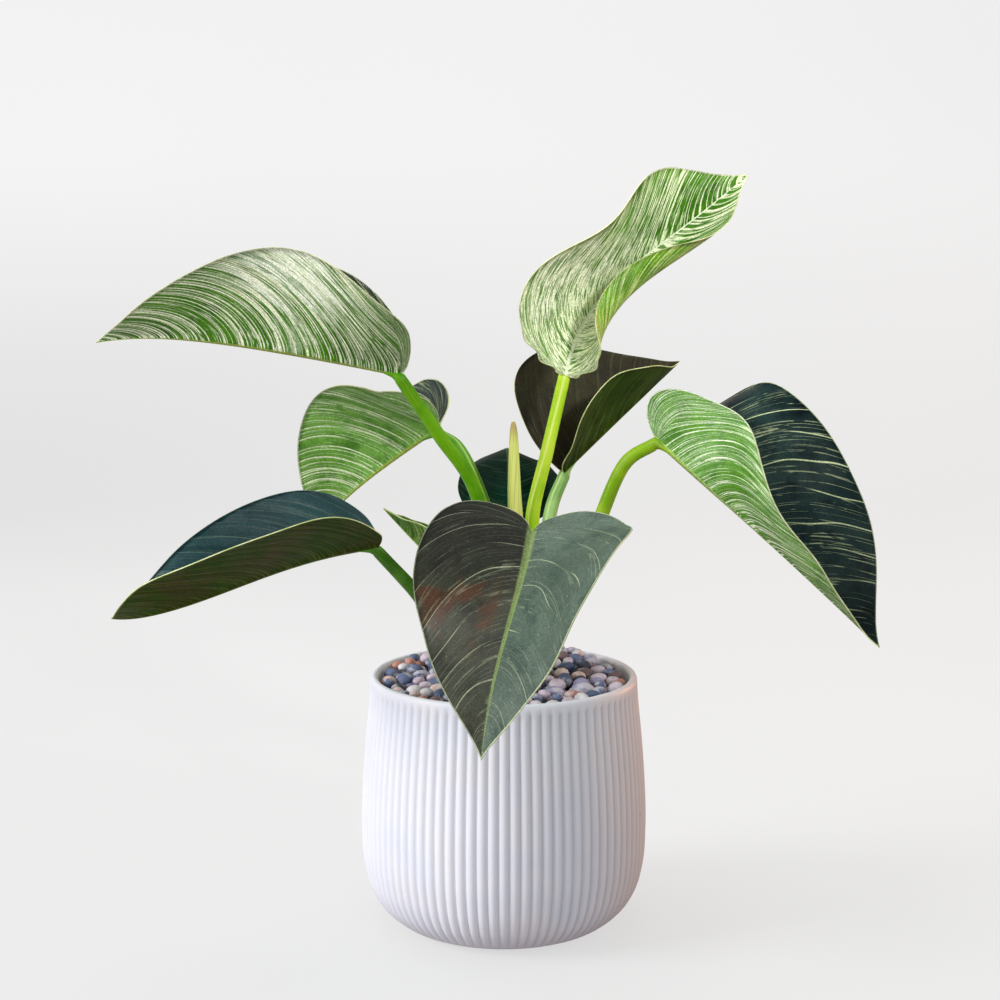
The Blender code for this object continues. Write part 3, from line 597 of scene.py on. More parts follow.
def flat_blade(leaf, t, v, half):
    """Flat place a share v of the way along the vein to margin share t: a quadratic curve from the midrib."""
    edge = margin(leaf, t, half)
    rib = leaf["length"] * MM * np.clip((t - SINUS_SHARE) / (1 - SINUS_SHARE), 0, 1) ** VEIN_START_POWER
    mid_x = rib + VEIN_MID_ALONG * (edge[..., 0] - rib)
    x = (1 - v) ** 2 * rib + 2 * v * (1 - v) * mid_x + v * v * edge[..., 0]
    y = 2 * v * (1 - v) * VEIN_MID_OUT * edge[..., 1] + v * v * edge[..., 1]
    return x, y


flat = margin(LEAVES["leaf_front"], np.linspace(0, 1, 9), 0.062)
print("front leaf, flat margin in mm:", (flat * 1000).round().tolist())

# %% [markdown]
# The midrib is walked in 24 short steps. At each, its frame of three directions turns a
# little: droop nods it, sweep swings it sideways and twist rolls it. A half of the blade is
# then an arc that leaves this frame at the fold angle and turns by the curl.


# %% Midrib and bending
def turned(axis, angle):
    """Matrix of a turn about an axis: 1 + sin K + (1 - cos) K K, with K the cross product by the axis."""
    a = axis / np.linalg.norm(axis)
    k = np.array([[0, -a[2], a[1]], [a[2], 0, -a[0]], [-a[1], a[0], 0]])
    return np.eye(3) + math.sin(angle) * k + (1 - math.cos(angle)) * k @ k


def midrib(leaf, steps=24):
    """Points and (along, left, up) frames from base to tip, each frame the last one turned a little."""
    az, el = leaf["heading"] * DEG, leaf["rise"] * DEG
    along = np.array([math.cos(el) * math.cos(az), math.cos(el) * math.sin(az), math.sin(el)])
    level = np.array([-math.sin(az), math.cos(az), 0])
    up = turned(along, leaf["roll"] * DEG) @ np.cross(along, level)
    left = np.cross(up, along)
    point = np.array(leaf["base"], float) * MM
    points, frames = [point], [(along, left, up)]
    for i in range(steps):
        s = (i + 0.5) / steps
        parts = np.array([2 * (1 - s), 2 * s, math.pi / 2 * math.sin(2 * math.pi * s)]) / steps * DEG
        droop, sweep = parts @ np.array(leaf["droop"]), parts @ np.array(leaf["sweep"])
        turn = turned(left, droop) @ turned(up, sweep) @ turned(along, leaf["twist"] / steps * DEG)
        before = along
        along, left, up = turn @ along, turn @ left, turn @ up
        way = before + along
        point = point + way / np.linalg.norm(way) * leaf["length"] * MM / steps
        points.append(point)
        frames.append((along, left, up))
    return np.array(points), np.array(frames)


def bent(leaf, side, x, y, spine):
    """Flat points of one half in space: an arc that starts at the fold angle and turns by the curl."""
    points, frames = spine
    steps = len(points) - 1
    s = np.clip(x / (leaf["length"] * MM), 0, 1)
    i = np.minimum((s * steps).astype(int), steps - 1)
    f = (s * steps - i)[..., None]
    centre = points[i] * (1 - f) + points[i + 1] * f
    along, left, up = (frames[i, k] * (1 - f) + frames[i + 1, k] * f for k in range(3))
    name = "left" if side > 0 else "right"
    fold = through(leaf["fold_" + name], s) * DEG
    bend = through(leaf.get("curl_" + name, (0,)), s) * DEG / (leaf["half_" + name] * MM)
    bend = np.where(np.abs(bend) < 1e-6, 1e-6, bend)
    end = fold + bend * y
    out, lift = (np.sin(end) - np.sin(fold)) / bend, (np.cos(fold) - np.cos(end)) / bend
    return centre + np.minimum(x, 0)[..., None] * along + side * left * out[..., None] + up * lift[..., None]


spines = {name: midrib(leaf) for name, leaf in LEAVES.items()}
print("tips in mm:", {name: (spine[0][-1] * 1000).round().tolist() for name, spine in spines.items()})

# %% [markdown]
# ## Building a blade
#
# Both halves are grids of (margin share, share of the way out). Many veins start at the
# sinus and all end at the tip, so those grid points are merged. The sheet then gets its
# thickness along its normals, a round rib underneath, a shallow groove on top, small waves
# near the margin and, on one leaf, frilled lobes.

# %% Blade grids
ROWS, COLS = 110, 20


def way_along(points):
    """Distance of every point from the first, measured along the line through them all."""
    return np.concatenate([[0], np.cumsum(np.linalg.norm(np.diff(points, axis=0), axis=1))])


def blade_halves(leaf, spine, t, v, seed):
    """Points, vein_map and leaf_place of both halves; the veins lean back by a share of v squared."""
    points, vein, place = [], [], []
    for half, side, key in ((0, 1, "half_left"), (1, -1, "half_right")):
        x, y = flat_blade(leaf, t, v, leaf[key] * MM)
        points.append(bent(leaf, side, x, y, spine))
        edge = margin(leaf, t[:, 0], leaf[key] * MM)
        along_edge = way_along(edge)
        steps = np.hypot(np.diff(x, axis=1), np.diff(y, axis=1))
        way_out = np.concatenate([np.zeros((ROWS + 1, 1)), np.cumsum(steps, axis=1)], axis=1)
        lean = leaf.get("lean", (0.32, 0.32))[half] * (along_edge[-1] - along_edge[:, None]) * v ** 2
        vein.append(np.stack([along_edge[:, None] - lean, way_out, 0 * v + seed * 7.3 + side * 2.1], axis=-1))
        place.append(np.stack([x / (leaf["length"] * MM), side * y, way_out[:, -1:] - way_out], axis=-1))
    return [np.concatenate([grid.reshape(-1, 3) for grid in grids]) for grids in (points, vein, place)]


def merged_grids(t):
    """Points that stay, and both halves' index grids once the sinus, the midrib and the tip are merged."""
    ids = np.arange(2 * (ROWS + 1) * (COLS + 1)).reshape(2, ROWS + 1, COLS + 1)
    same = ids.copy()
    same[:, 0, :] = 0
    same[:, t[:, 0] <= SINUS_SHARE + 1e-9, 0] = 0
    same[1, :, 0] = same[0, :, 0]
    same[:, ROWS, :] = ids[0, ROWS, 0]
    used, new = np.unique(same.reshape(-1), return_inverse=True)
    return used, new.reshape(ids.shape)


def half_triangles(grids):
    """Triangles of both halves without the flat ones, and the half that each belongs to."""
    quads = np.concatenate([grid_quads(grids[0])[:, ::-1], grid_quads(grids[1])])
    tris = np.concatenate([quads[:, [0, 1, 2]], quads[:, [0, 2, 3]]])
    owner = np.tile(np.repeat([0, 1], ROWS * COLS), 2)
    whole = (tris[:, 0] != tris[:, 1]) & (tris[:, 1] != tris[:, 2]) & (tris[:, 0] != tris[:, 2])
    return tris[whole], owner[whole]


def side_normals(points, tris, owner):
    """Unit normals of each half by itself, (2, n, 3): the sum of the cross products of its triangles."""
    cross = np.cross(points[tris[:, 1]] - points[tris[:, 0]], points[tris[:, 2]] - points[tris[:, 0]])
    sides = np.zeros((2, len(points), 3))
    for side in (0, 1):
        for k in range(3):
            np.add.at(sides[side], tris[owner == side, k], cross[owner == side])
    return sides / np.maximum(np.linalg.norm(sides, axis=2), 1e-15)[..., None]


print("grid of one half:", ROWS, "by", COLS)

# %% [markdown]
# A real blade is little thicker than card. Where the halves meet at an angle the thickness
# is measured square to each of them, as in a mitre joint, so the fold doesn't get thin.

# %% Blade builder
HALF_THICK, GROOVE = 0.28 * MM, 0.15 * MM
WAVE, WAVES, FRILLS = 0.4 * MM, 5, 10
RIB_AT_BASE, RIB_AT_TIP, RIB_DEPTH = 0.0021, 0.0004, 0.55


def build_blade(name, leaf, skins, seed):
    """Closed blade: the sheet plus and minus half its thickness, joined by a strip round the margin."""
    t, v = np.meshgrid(np.linspace(0, 1, ROWS + 1), np.linspace(0, 1, COLS + 1) ** 1.3, indexing="ij")
    used, new = merged_grids(t)
    points, vein, place = (values[used] for values in blade_halves(leaf, spines[name], t, v, seed))
    tris, owner = half_triangles(new)
    sides = side_normals(points, tris, owner)
    normals = sides.sum(axis=0)
    normals /= np.linalg.norm(normals, axis=1)[:, None]
    out_share, edge_share = (np.tile(values.reshape(-1), 2)[used] for values in (v, t))
    off_rib, edge_turn = place[:, 1], 2 * math.pi * edge_share
    free = smooth_step(0.0, 0.12, edge_share) * smooth_step(1.0, 0.9, edge_share)
    ripple = WAVE * free * out_share ** 3 * np.sin(WAVES * edge_turn + seed + np.sign(off_rib))
    lobes = smooth_step(0.03, 0.10, edge_share) * smooth_step(0.32, 0.20, edge_share) * out_share ** 3
    ripple = ripple + leaf.get("frill", 0.0) * MM * lobes * np.sin(FRILLS * edge_turn + off_rib * 60)
    points = points + normals * ripple[:, None]
    along = np.clip(place[:, 0], 0, 1)
    rib_radius = (RIB_AT_BASE * (1 - along) + RIB_AT_TIP) * leaf.get("stout", 1.0)
    rib_shape = np.exp(-(off_rib / rib_radius) ** 2)
    on_rib = out_share == 0
    mitre = np.ones(len(points))
    mitre[on_rib] = 1 / np.maximum((sides[0] * normals).sum(axis=1)[on_rib], 0.45)
    above = HALF_THICK * mitre - GROOVE * rib_shape * (1 - along)
    below = HALF_THICK * mitre + rib_radius * RIB_DEPTH * rib_shape
    total = len(points)
    body = np.concatenate([points + normals * above[:, None], points - normals * below[:, None]])
    rim = np.concatenate([[0], new[0, 1:, COLS], new[1, 1:-1, COLS][::-1]])
    after = np.roll(rim, -1)
    strip = np.stack([rim, after, after + total, rim + total], axis=-1)[:, ::-1]
    under = tris[:, ::-1] + total
    slots = np.concatenate([np.zeros(len(tris)), np.ones(len(under)), np.full(len(strip), 2)])
    maps = {"vein_map": np.tile(vein, (2, 1)), "leaf_place": np.tile(place, (2, 1))}
    return make_piece(name + "_blade", body, [tris, under, strip], [*skins, margin_skin], slots, maps)


blades = {}
for number, (name, leaf) in enumerate(LEAVES.items()):
    skins = [leaf_skins[name.removeprefix("leaf_") + side] for side in ("_top", "_under")]
    blade = build_blade(name, leaf, skins, number + 1)
    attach(blade, "root")
    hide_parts(name)
    blades[name] = blade
print("blade triangles:", sum(len(b.data.polygons) for b in blades.values()))

# %% [markdown]
# ## Petioles
#
# A petiole is a firm green bar with a shallow channel on its upper side and fine pale
# stripes. It leaves the trunk square to the bark, turns upward and runs out under the
# midrib. A plain curve with a bevel would twist its channel away, so here a ring is carried
# along the path with a facing of its own, and the first rings lie flat against the trunk.


# %% Petiole finish
def petiole_finish(name, green, light, pale):
    """Bright green with stripes along the bar; bar_map holds (turn, length, channel)."""
    material, net = new_material(name)
    turn, reach, channel = net.place("bar_map")
    stripe = net.stretched((turn, reach, 0), 26, 30, 2, 0.6)
    patch = net.noise(net.here(), 60)
    colour = net.paint(green, (net.ramp(patch, 0.38, 0.66), light),
                       (net.ramp(stripe, 0.55, 0.72, 0, 0.55), pale),
                       (net.ramp(channel, 0.55, 0.95, 0, 0.8), pale))
    net.finish(colour, stripe, 0.25, 0.0004, net.ramp(patch, 0.3, 0.7, 0.33, 0.45))
    net.shader["Specular IOR Level"].default_value = 0.2
    return material


bright = petiole_finish("petiole_bright", (78, 142, 0), (102, 164, 0), (158, 188, 34))
warm = petiole_finish("petiole_warm", (110, 156, 6), (136, 174, 22), (200, 186, 112))
light = petiole_finish("petiole_light", (160, 206, 26), (186, 220, 50), (226, 234, 130))
pale = petiole_finish("petiole_pale", (120, 164, 84), (146, 186, 108), (190, 212, 150))
deep = petiole_finish("petiole_deep", (62, 122, 20), (88, 148, 40), (164, 196, 104))
petiole_skins = {
    "leaf_upper_left": bright, "leaf_middle_left": deep, "leaf_lower_left": deep,
    "leaf_upper_right": light, "leaf_back_right": pale, "leaf_right": warm, "leaf_front": bright,
    "leaf_back": deep, "leaf_small_left": deep}
print("petiole finishes:", len(set(petiole_skins.values())))


# %% Bars along a curve
def smooth_path(points, per):
    """Catmull-Rom curve through the points, each span the usual cubic of the four points round it."""
    p = np.array(points, float)
    p = np.vstack([2 * p[0] - p[1], p, 2 * p[-1] - p[-2]])
    f = np.linspace(0, 1, per, endpoint=False)[:, None]
    parts = [0.5 * (2 * b + (c - a) * f + (2 * a - 5 * b + 4 * c - d) * f ** 2
                    + (3 * b - a - 3 * c + d) * f ** 3)
             for a, b, c, d in zip(p[:-3], p[1:-2], p[2:-1], p[3:])]
    return np.vstack(parts + [p[-2:-1]])


def unit(vectors):
    """Rows of an array divided by their lengths."""
    return vectors / np.linalg.norm(vectors, axis=1)[:, None]


def bar(name, path, radii, facing, material, turns, channel, cap=None, cap_reach=0.018):
    """Closed bar: a ring r(angle), with a dip of share channel on its facing side, carried along a path."""
    way = unit(np.gradient(path, axis=0))
    if cap is not None:
        share = np.clip(np.linalg.norm(path - path[0], axis=1) / cap_reach, 0, 1)[:, None]
        way = unit(way * share + np.array(cap) * (1 - share))
    top = unit(facing - way * (facing * way).sum(axis=1)[:, None])
    side = np.cross(way, top)
    angle = np.linspace(-math.pi, math.pi, turns, endpoint=False)
    dip = np.exp(-(angle / 0.42) ** 2)
    ring = 1 - channel * dip + 0.06 * channel / 0.2 * np.exp(-((np.abs(angle) - 0.85) / 0.28) ** 2)
    radius = (np.asarray(radii)[:, None] * ring)[..., None]
    body = path[:, None] + radius * (np.cos(angle)[None, :, None] * top[:, None]
                                     + np.sin(angle)[None, :, None] * side[:, None])
    length = way_along(path)
    bar_map = np.stack(np.broadcast_arrays(np.abs(angle) / math.pi, length[:, None], dip), axis=-1)
    bar_map = np.vstack([bar_map.reshape(-1, 3), [0.5, 0, 0], [0.5, length[-1], 0]])
    points, faces = closed_tube(body, path[0], path[-1])
    return make_piece(name, points, faces, [material], maps={"bar_map": bar_map})


print("a path of 3 points in steps of a tenth has", len(smooth_path(np.eye(3), 10)), "points")

# %% [markdown]
# The end of each petiole runs a little way under the midrib and thins out against the
# blade, so no cut end shows where the stalk becomes the rib.

# %% Petiole builder
PETIOLE_FOOT, PETIOLE_HEAD = 4.7 * MM, 3.4 * MM
TAIL_STEPS, TAIL_DEPTHS, TAIL_RADII = (0.004, 0.009, 0.014), (0.44, 0.24, 0.10), (1, 0.46, 0.26, 0.10)


def below_rib(name, distance, depth):
    """Place a distance along the midrib and a depth below it, on the side away from both halves."""
    points, frames = spines[name]
    leaf, steps = LEAVES[name], len(points) - 1
    u = distance / (leaf["length"] * MM) * steps
    i = int(u)
    left, right = (float(through(leaf[key], i / steps)) * DEG for key in ("fold_left", "fold_right"))
    inward = (frames[i, 1] * (math.cos(left) - math.cos(right))
              + frames[i, 2] * (math.sin(left) + math.sin(right)))
    inward = inward / np.linalg.norm(inward)
    return points[i] * (1 - (u - i)) + points[i + 1] * (u - i) - inward * depth, inward


def build_petiole(name, leaf, material):
    """From the bark through the leaf's points, then a short way under the midrib."""
    turn, height = leaf["foot"][0] * DEG, leaf["foot"][1] * MM
    out = np.array([math.cos(turn), math.sin(turn), 0.0])
    bark = float(np.interp(height - 0.005, STEM_RINGS[:, 0], STEM_RINGS[:, 1]))
    first = np.array([STEM_X, STEM_Y, height]) + out * (bark - BARK_INSET)
    stout = leaf.get("stout", 1.0)
    head, foot = PETIOLE_HEAD * stout, PETIOLE_FOOT * stout
    end, upward = below_rib(name, 0.0, head * 0.7)
    path = smooth_path([first] + [np.array(q, float) * MM for q in leaf["via"]] + [end], 14)
    tail = [below_rib(name, d, head * k)[0] for d, k in zip(TAIL_STEPS, TAIL_DEPTHS)]
    tail = smooth_path([end] + tail, 4)[1:]
    share = np.linspace(0, 1, len(path)) ** 0.7
    thinner = np.interp(np.linspace(0, 1, len(tail) + 1)[1:], (0, 0.33, 0.67, 1), TAIL_RADII)
    radii = np.concatenate([foot + (head - foot) * share, head * thinner])
    path = np.vstack([path, tail])
    grow = np.linspace(0, 1, len(path))[:, None]
    facing = (1 - grow) * (-out + np.array([0, 0, 0.4])) + grow * upward
    piece = bar(name + "_petiole", path, radii, facing, material, 24, 0.2, out)
    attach(piece, "root")
    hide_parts(name)
    return piece


petioles = [build_petiole(name, LEAVES[name], material) for name, material in petiole_skins.items()]
print("petioles:", len(petioles))

# %% [markdown]
# ## New leaf
#
# The next leaf is still rolled up like a paper cone, its free edge winding round it. A real
# spiral sheet would show no more than that edge, so it is a bar whose channel turns with
# the height, thickest near the foot and brown at the tip.

# %% New leaf
spear_skin, net = new_material("spear_skin", 0.42)
turn, reach, edge = net.place("bar_map")
stripe = net.stretched((turn, reach, 3), 22, 24, 2, 0.6)
colour = net.paint((224, 228, 126), (net.ramp(stripe, 0.4, 0.66), (182, 194, 86)),
                   (net.ramp(reach, 0, 0.05, 0.5, 0), (176, 206, 90)),
                   (net.ramp(reach, 0.088, 0.101, 0, 0.8), (150, 116, 66)),
                   (net.ramp(edge, 0.75, 1, 0, 0.7), (224, 222, 170)))
net.finish(colour, stripe, 0.3, 0.0004)

SPEAR_WAY = np.array(((8.0, -0.5, 183.8), (7.6, -2.0, 205.0), (6.2, -6.0, 240.0), (5.2, -8.0, 284.5))) * MM
path = smooth_path(SPEAR_WAY, 20)
share = np.linspace(0, 1, len(path))
radii = np.interp(share, (0, 0.12, 0.45, 0.73, 0.94, 0.98, 1.0), (4.0, 4.7, 4.6, 3.9, 2.4, 1.7, 0.9)) * MM
winding = -0.6 + 2.6 * share - 1.3
spear_facing = np.stack([np.cos(winding), np.sin(winding), np.full(len(share), 0.1)], axis=1)
spear = bar("new_leaf_roll", path, radii, spear_facing, spear_skin, 36, 0.16)
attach(spear, "root")
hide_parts("new_leaf")
print("new leaf", round(float(np.linalg.norm(path[-1] - path[0])) * 1000), "mm long")

# %% [markdown]
# ## Trunk
#
# The trunk is short and thick, ringed where old leaves fell off. A bump would leave its
# outline smooth, so the rings are in the shape: a sine wave of the height, tilted a little
# round the trunk, on the radius of the CAD stem.

# %% Trunk
FOOT_Z, PLAIN_ABOVE, TOP_Z, SCAR_STEP, SCAR_DEPTH = 0.100, 0.176, 0.184, 0.0085, 0.0005
trunk_skin, net = new_material("trunk_skin", 0.6)
bark = net.use(clouds, (84, 104, 46), (110, 128, 62), (96, 84, 54), 90, 0.1)
net.finish(bark["Color"], bark["Value"], 0.5, 0.001)


def lathe(radius, angle, height, x=0, y=0):
    """Points at a radius and an angle about the upright axis through (x, y), a ring for each height."""
    return np.stack(np.broadcast_arrays(x + radius * np.cos(angle), y + radius * np.sin(angle), height), -1)


height, angle = np.linspace(FOOT_Z, TOP_Z, 60)[:, None], circle(48)
scars = SCAR_DEPTH * np.sin(height * 2 * math.pi / SCAR_STEP + 0.9 * np.sin(angle))
radius = np.interp(height, STEM_RINGS[:, 0], STEM_RINGS[:, 1]) - BARK_INSET
radius = radius + scars * smooth_step(TOP_Z, PLAIN_ABOVE, height)
body = lathe(radius, angle, height, STEM_X, STEM_Y)
points, faces = closed_tube(body, [STEM_X, STEM_Y, FOOT_Z], [STEM_X, STEM_Y, TOP_Z + 0.0002])
trunk = make_piece("trunk", points, faces, [trunk_skin])
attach(trunk, "root")
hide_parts("stem")
print("trunk rings:", len(height))

# %% [markdown]
# ## Planter
#
# The planter is a lathe form with 84 reeds. They could be 84 copied bars, but a wall whose
# radius follows the angle has no seams: each reed is a round bulge, so the radius drops by
# a depth times one minus a power of the absolute cosine of the angle. The grooves fade out
# under the smooth lip and toward the foot. The glaze is white with a few grey specks. The
# grooves get painted shade, blue-grey and deeper toward the right, and the right side is
# given a painted warm light.

# %% Planter finish
glaze, net = new_material("white_glaze", 0.42)
wash = net.use(clouds, (228, 231, 241), (221, 226, 238), (229, 229, 234), 14, 0.2)
cells = net.add("ShaderNodeTexVoronoi", {"Vector": net.here(), "Scale": 85}, "Distance")
speck = net.ramp(cells, 0.05, 0.11, 1, 0) * net.ramp(net.noise(net.here(), 23, 1), 0.56, 0.64)
to_right = net.split(net.here())[0]
# Painted shade in the grooves, stronger toward the right, and a painted warm light on the right side.
groove_shade = net.number("groove") * net.ramp(to_right, -0.03, 0.035, 0.08, 0.42)
colour = net.paint(wash["Color"], (net.ramp(to_right, 0.035, 0.080, 0, 0.7), (214, 198, 190)),
                   (groove_shade, (150, 155, 168)), (speck * 0.5, (150, 150, 156)))
net.finish(colour, net.noise(net.here(), 420, 3, 0.6), 0.08, 0.0006,
           net.ramp(wash["Value"], 0.3, 0.7, 0.36, 0.48))
print("glaze nodes:", len(glaze.node_tree.nodes))

# %% [markdown]
# The wall follows the CAD profile on a smooth curve, the cubic that meets each point and
# the slope there. Lip, inside and foot are a few more rings, given as height and radius.

# %% Planter body
POT_PROFILE = np.array(((0, 50), (1.2, 54), (3, 58.5), (6, 63), (12, 69.4), (21, 74.9), (34, 78.5), (57, 80),
                        (85, 79.1), (110, 77.1), (130, 75.1), (138, 74.6))) * MM
REEDS, COLUMNS, GROOVE_DEPTH = 84, 84 * 8, 0.0013
POT_FLOOR = 0.006
FOOT_RINGS = np.array(((0.0, 30.0), (0.0, 49.4))) * MM
LIP_RINGS = np.array(((140.2, 74.4), (141.5, 73.9), (142.1, 73.2), (142.3, 72.3), (142.1, 71.4),
                      (141.4, 70.6), (140.0, 70.2))) * MM
INSIDE_RINGS = np.array(((128, 70.5), (110, 71.6), (57, 74.4), (13, 64), (6, 56))) * MM


def wall_radius(z):
    """Outside radius at a height: the cubic Hermite curve through the CAD profile's points."""
    h, r = POT_PROFILE[:, 0], POT_PROFILE[:, 1]
    slope = np.gradient(r, h)
    slope[0] = 3.4
    k = np.clip(np.searchsorted(h, z, side="right") - 1, 0, len(h) - 2)
    step = h[k + 1] - h[k]
    u = (z - h[k]) / step
    return ((2 * u ** 3 - 3 * u ** 2 + 1) * r[k] + (u ** 3 - 2 * u ** 2 + u) * step * slope[k]
            + (-2 * u ** 3 + 3 * u ** 2) * r[k + 1] + (u ** 3 - u ** 2) * step * slope[k + 1])


angle = circle(COLUMNS) - math.pi / 2
reed = 1 - np.abs(np.cos(angle * REEDS / 2 + math.pi / 2 * REEDS / 2)) ** 0.85
wall = np.concatenate([np.linspace(0.0004, 0.02, 16), np.linspace(0.022, 0.138, 46)])
outside = np.stack([wall, wall_radius(wall)], axis=-1)
height, radius = np.concatenate([FOOT_RINGS, outside, LIP_RINGS, INSIDE_RINGS]).T[..., None]
fade = smooth_step(0.0015, 0.009, wall) * smooth_step(0.1385, 0.1355, wall)
fade = np.concatenate([np.zeros(len(FOOT_RINGS)), fade, np.zeros(len(LIP_RINGS) + len(INSIDE_RINGS))])
groove = fade[:, None] * reed
radius = radius - GROOVE_DEPTH * groove
points, faces = closed_tube(lathe(radius, angle, height), [0, 0, 0], [0, 0, POT_FLOOR])
planter = make_piece("planter", points, faces, [glaze],
                     maps={"groove": np.concatenate([groove.reshape(-1), [0.0, 0.0]])})
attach(planter, "root")
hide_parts("pot")
print("planter triangles:", 2 * len(height) * COLUMNS)

# %% [markdown]
# ## Pebbles
#
# The pebbles are river stones in slate, grey, lavender, pink, rust and cream. One ball of
# 80 facets is scaled, squashed and turned for all stones in one array, and a number per
# stone picks its colour. Two layers lie on a low heap, so no soil shows from the side.

# %% Stone finish
stone_skin, net = new_material("stone_skin")
palette = net.add("ShaderNodeValToRGB", {"Fac": net.number("stone_tone")}, None)
palette.color_ramp.interpolation = "CONSTANT"
tones = ((0, (66, 84, 118)), (0.15, (98, 112, 150)), (0.30, (48, 52, 74)), (0.38, (158, 152, 188)),
         (0.54, (216, 198, 214)), (0.65, (196, 136, 120)), (0.74, (232, 198, 188)), (0.84, (232, 228, 232)),
         (0.93, (116, 92, 94)))
for k, (stop, tone) in enumerate(tones):
    dot = palette.color_ramp.elements[k] if k < 2 else palette.color_ramp.elements.new(stop)
    dot.position, dot.color = stop, tint(*tone)
grain, mottle = net.noise(net.here(), 260, 4, 0.65), net.noise(net.here(), 90, 3, 0.6, 0.4)
colour = net.paint(net.wires(palette)["Color"], (net.ramp(grain, 0.35, 0.7, 0, 0.35), (60, 60, 68)),
                   (net.ramp(mottle, 0.50, 0.62, 0, 0.65), (214, 210, 216)))
net.finish(colour, grain, 0.3, 0.0006, net.ramp(mottle, 0.3, 0.7, 0.42, 0.62))
print("stone colours:", len(tones))

# %% [markdown]
# Stones are dropped at random places and kept only where they don't crowd another stone of
# their layer, the rim or the trunk. A fixed seed gives the same bed on every run.

# %% Places of the stones
BED_TOP, BED_RADIUS, TRUNK_HOLE = 0.1365, 0.0692, 0.0155
LAYERS = ((0.0, 4200), (0.0042, 2200))


def bed_height(x, y):
    """Top of the heap at a place: a low dome that rises toward the back, as in the CAD source."""
    r = np.hypot(x, y)
    return BED_TOP + 0.0075 - 0.0035 * (r / 0.070) ** 2 + 0.14 * np.maximum(y, 0.0) * (1 - (r / 0.074) ** 8)


rng = np.random.default_rng(5)
spots, sizes = [], []
for layer, (lower, count) in enumerate(LAYERS):
    for x, y, s in zip(rng.uniform(-0.07, 0.07, count), rng.uniform(-0.07, 0.07, count),
                       rng.uniform(0.0033, 0.0054, count)):
        if math.hypot(x, y) > BED_RADIUS - s or math.hypot(x - STEM_X, y - STEM_Y) < TRUNK_HOLE + s * 0.7:
            continue
        mine = [(p, q) for p, q in zip(spots, sizes) if p[3] == layer]
        if all((x - p[0]) ** 2 + (y - p[1]) ** 2 > (0.86 * (s + q)) ** 2 for p, q in mine):
            spots.append((x, y, float(bed_height(x, y)) - lower - s * rng.uniform(0.55, 0.75), layer))
            sizes.append(s)
spots, sizes, n = np.array(spots), np.array(sizes), len(sizes)
print("stones kept:", n, "of", sum(count for lower, count in LAYERS))

# %% [markdown]
# Each stone is the ball times its three half lengths and a few soft lumps, then tilted
# about X and spun about Z. A turn mixes two coordinates by the sine and cosine of its
# angle.


# %% Stones
def turn_pair(a, b, angle):
    """Two coordinates after a turn in their plane: a cos - b sin and a sin + b cos."""
    return a * np.cos(angle) - b * np.sin(angle), a * np.sin(angle) + b * np.cos(angle)


ball = bmesh.new()
bmesh.ops.create_icosphere(ball, subdivisions=2, radius=1.0)
ball_points = np.array([v.co[:] for v in ball.verts])
ball_faces = np.array([[v.index for v in f.verts] for f in ball.faces])
ball.free()
halves = np.stack([rng.uniform(1.0, 1.25, n), rng.uniform(0.8, 1.0, n), rng.uniform(0.6, 0.82, n)], -1)
shape = sizes[:, None] * halves
lumps = 1 + 0.05 * np.sin(ball_points @ rng.normal(0, 2.2, (n, 3, 1)) + rng.uniform(0, 6, (n, 1, 1)))[..., 0]
body = ball_points * shape[:, None] * lumps[..., None]
spin, tilt = rng.uniform(0, 2 * math.pi, (n, 1)), rng.uniform(-0.5, 0.5, (n, 1))
x, y, z = np.moveaxis(body, -1, 0)
y, z = turn_pair(y, z, tilt)
x, y = turn_pair(x, y, spin)
body = np.stack([x, y, z], -1) + spots[:, None, :3]
faces = ball_faces[None] + (np.arange(n) * len(ball_points))[:, None, None]
tone = np.repeat(rng.uniform(0, 1, n), len(ball_points))
stones = make_piece("stones", body.reshape(-1, 3), [faces.reshape(-1, 3)], [stone_skin],
                    maps={"stone_tone": tone})
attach(stones, "root")
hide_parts("pebbles")
print("stone triangles:", len(faces) * len(ball_faces))

# %% [markdown]
# ## Soil
#
# Dark soil fills the gaps between the stones. Only its top is ever seen, so it is a disc
# that follows the heap a little lower down, and the CAD potting mix gets the same finish.

# %% Soil
SOIL_DROP, SOIL_FLOOR = 0.0085, 0.1245
soil_skin, net = new_material("soil_skin", 0.95)
earth = net.use(clouds, (46, 36, 30), (66, 52, 42), (34, 28, 24), 160, 0.1)
net.finish(earth["Color"], earth["Value"], 0.9, 0.003)

angle, share = circle(72), np.concatenate([[1.0], np.linspace(1.0, 0.02, 24)])[:, None]
x, y = BED_RADIUS * share * np.cos(angle), BED_RADIUS * share * np.sin(angle)
z = bed_height(x, y) - SOIL_DROP
z[0] = SOIL_FLOOR
middle = float(bed_height(0, 0)) - SOIL_DROP
points, faces = closed_tube(np.stack([x, y, z], -1), [0, 0, SOIL_FLOOR], [0, 0, middle])
top_soil = make_piece("top_soil", points, faces, [soil_skin])
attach(top_soil, "root")
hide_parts("pebbles")
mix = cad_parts["potting_mix"]
for k in range(len(mix.material_slots)):
    mix.material_slots[k].material = soil_skin
print("soil under the stones, top at", round(float(z.max()) * 1000, 1), "mm")
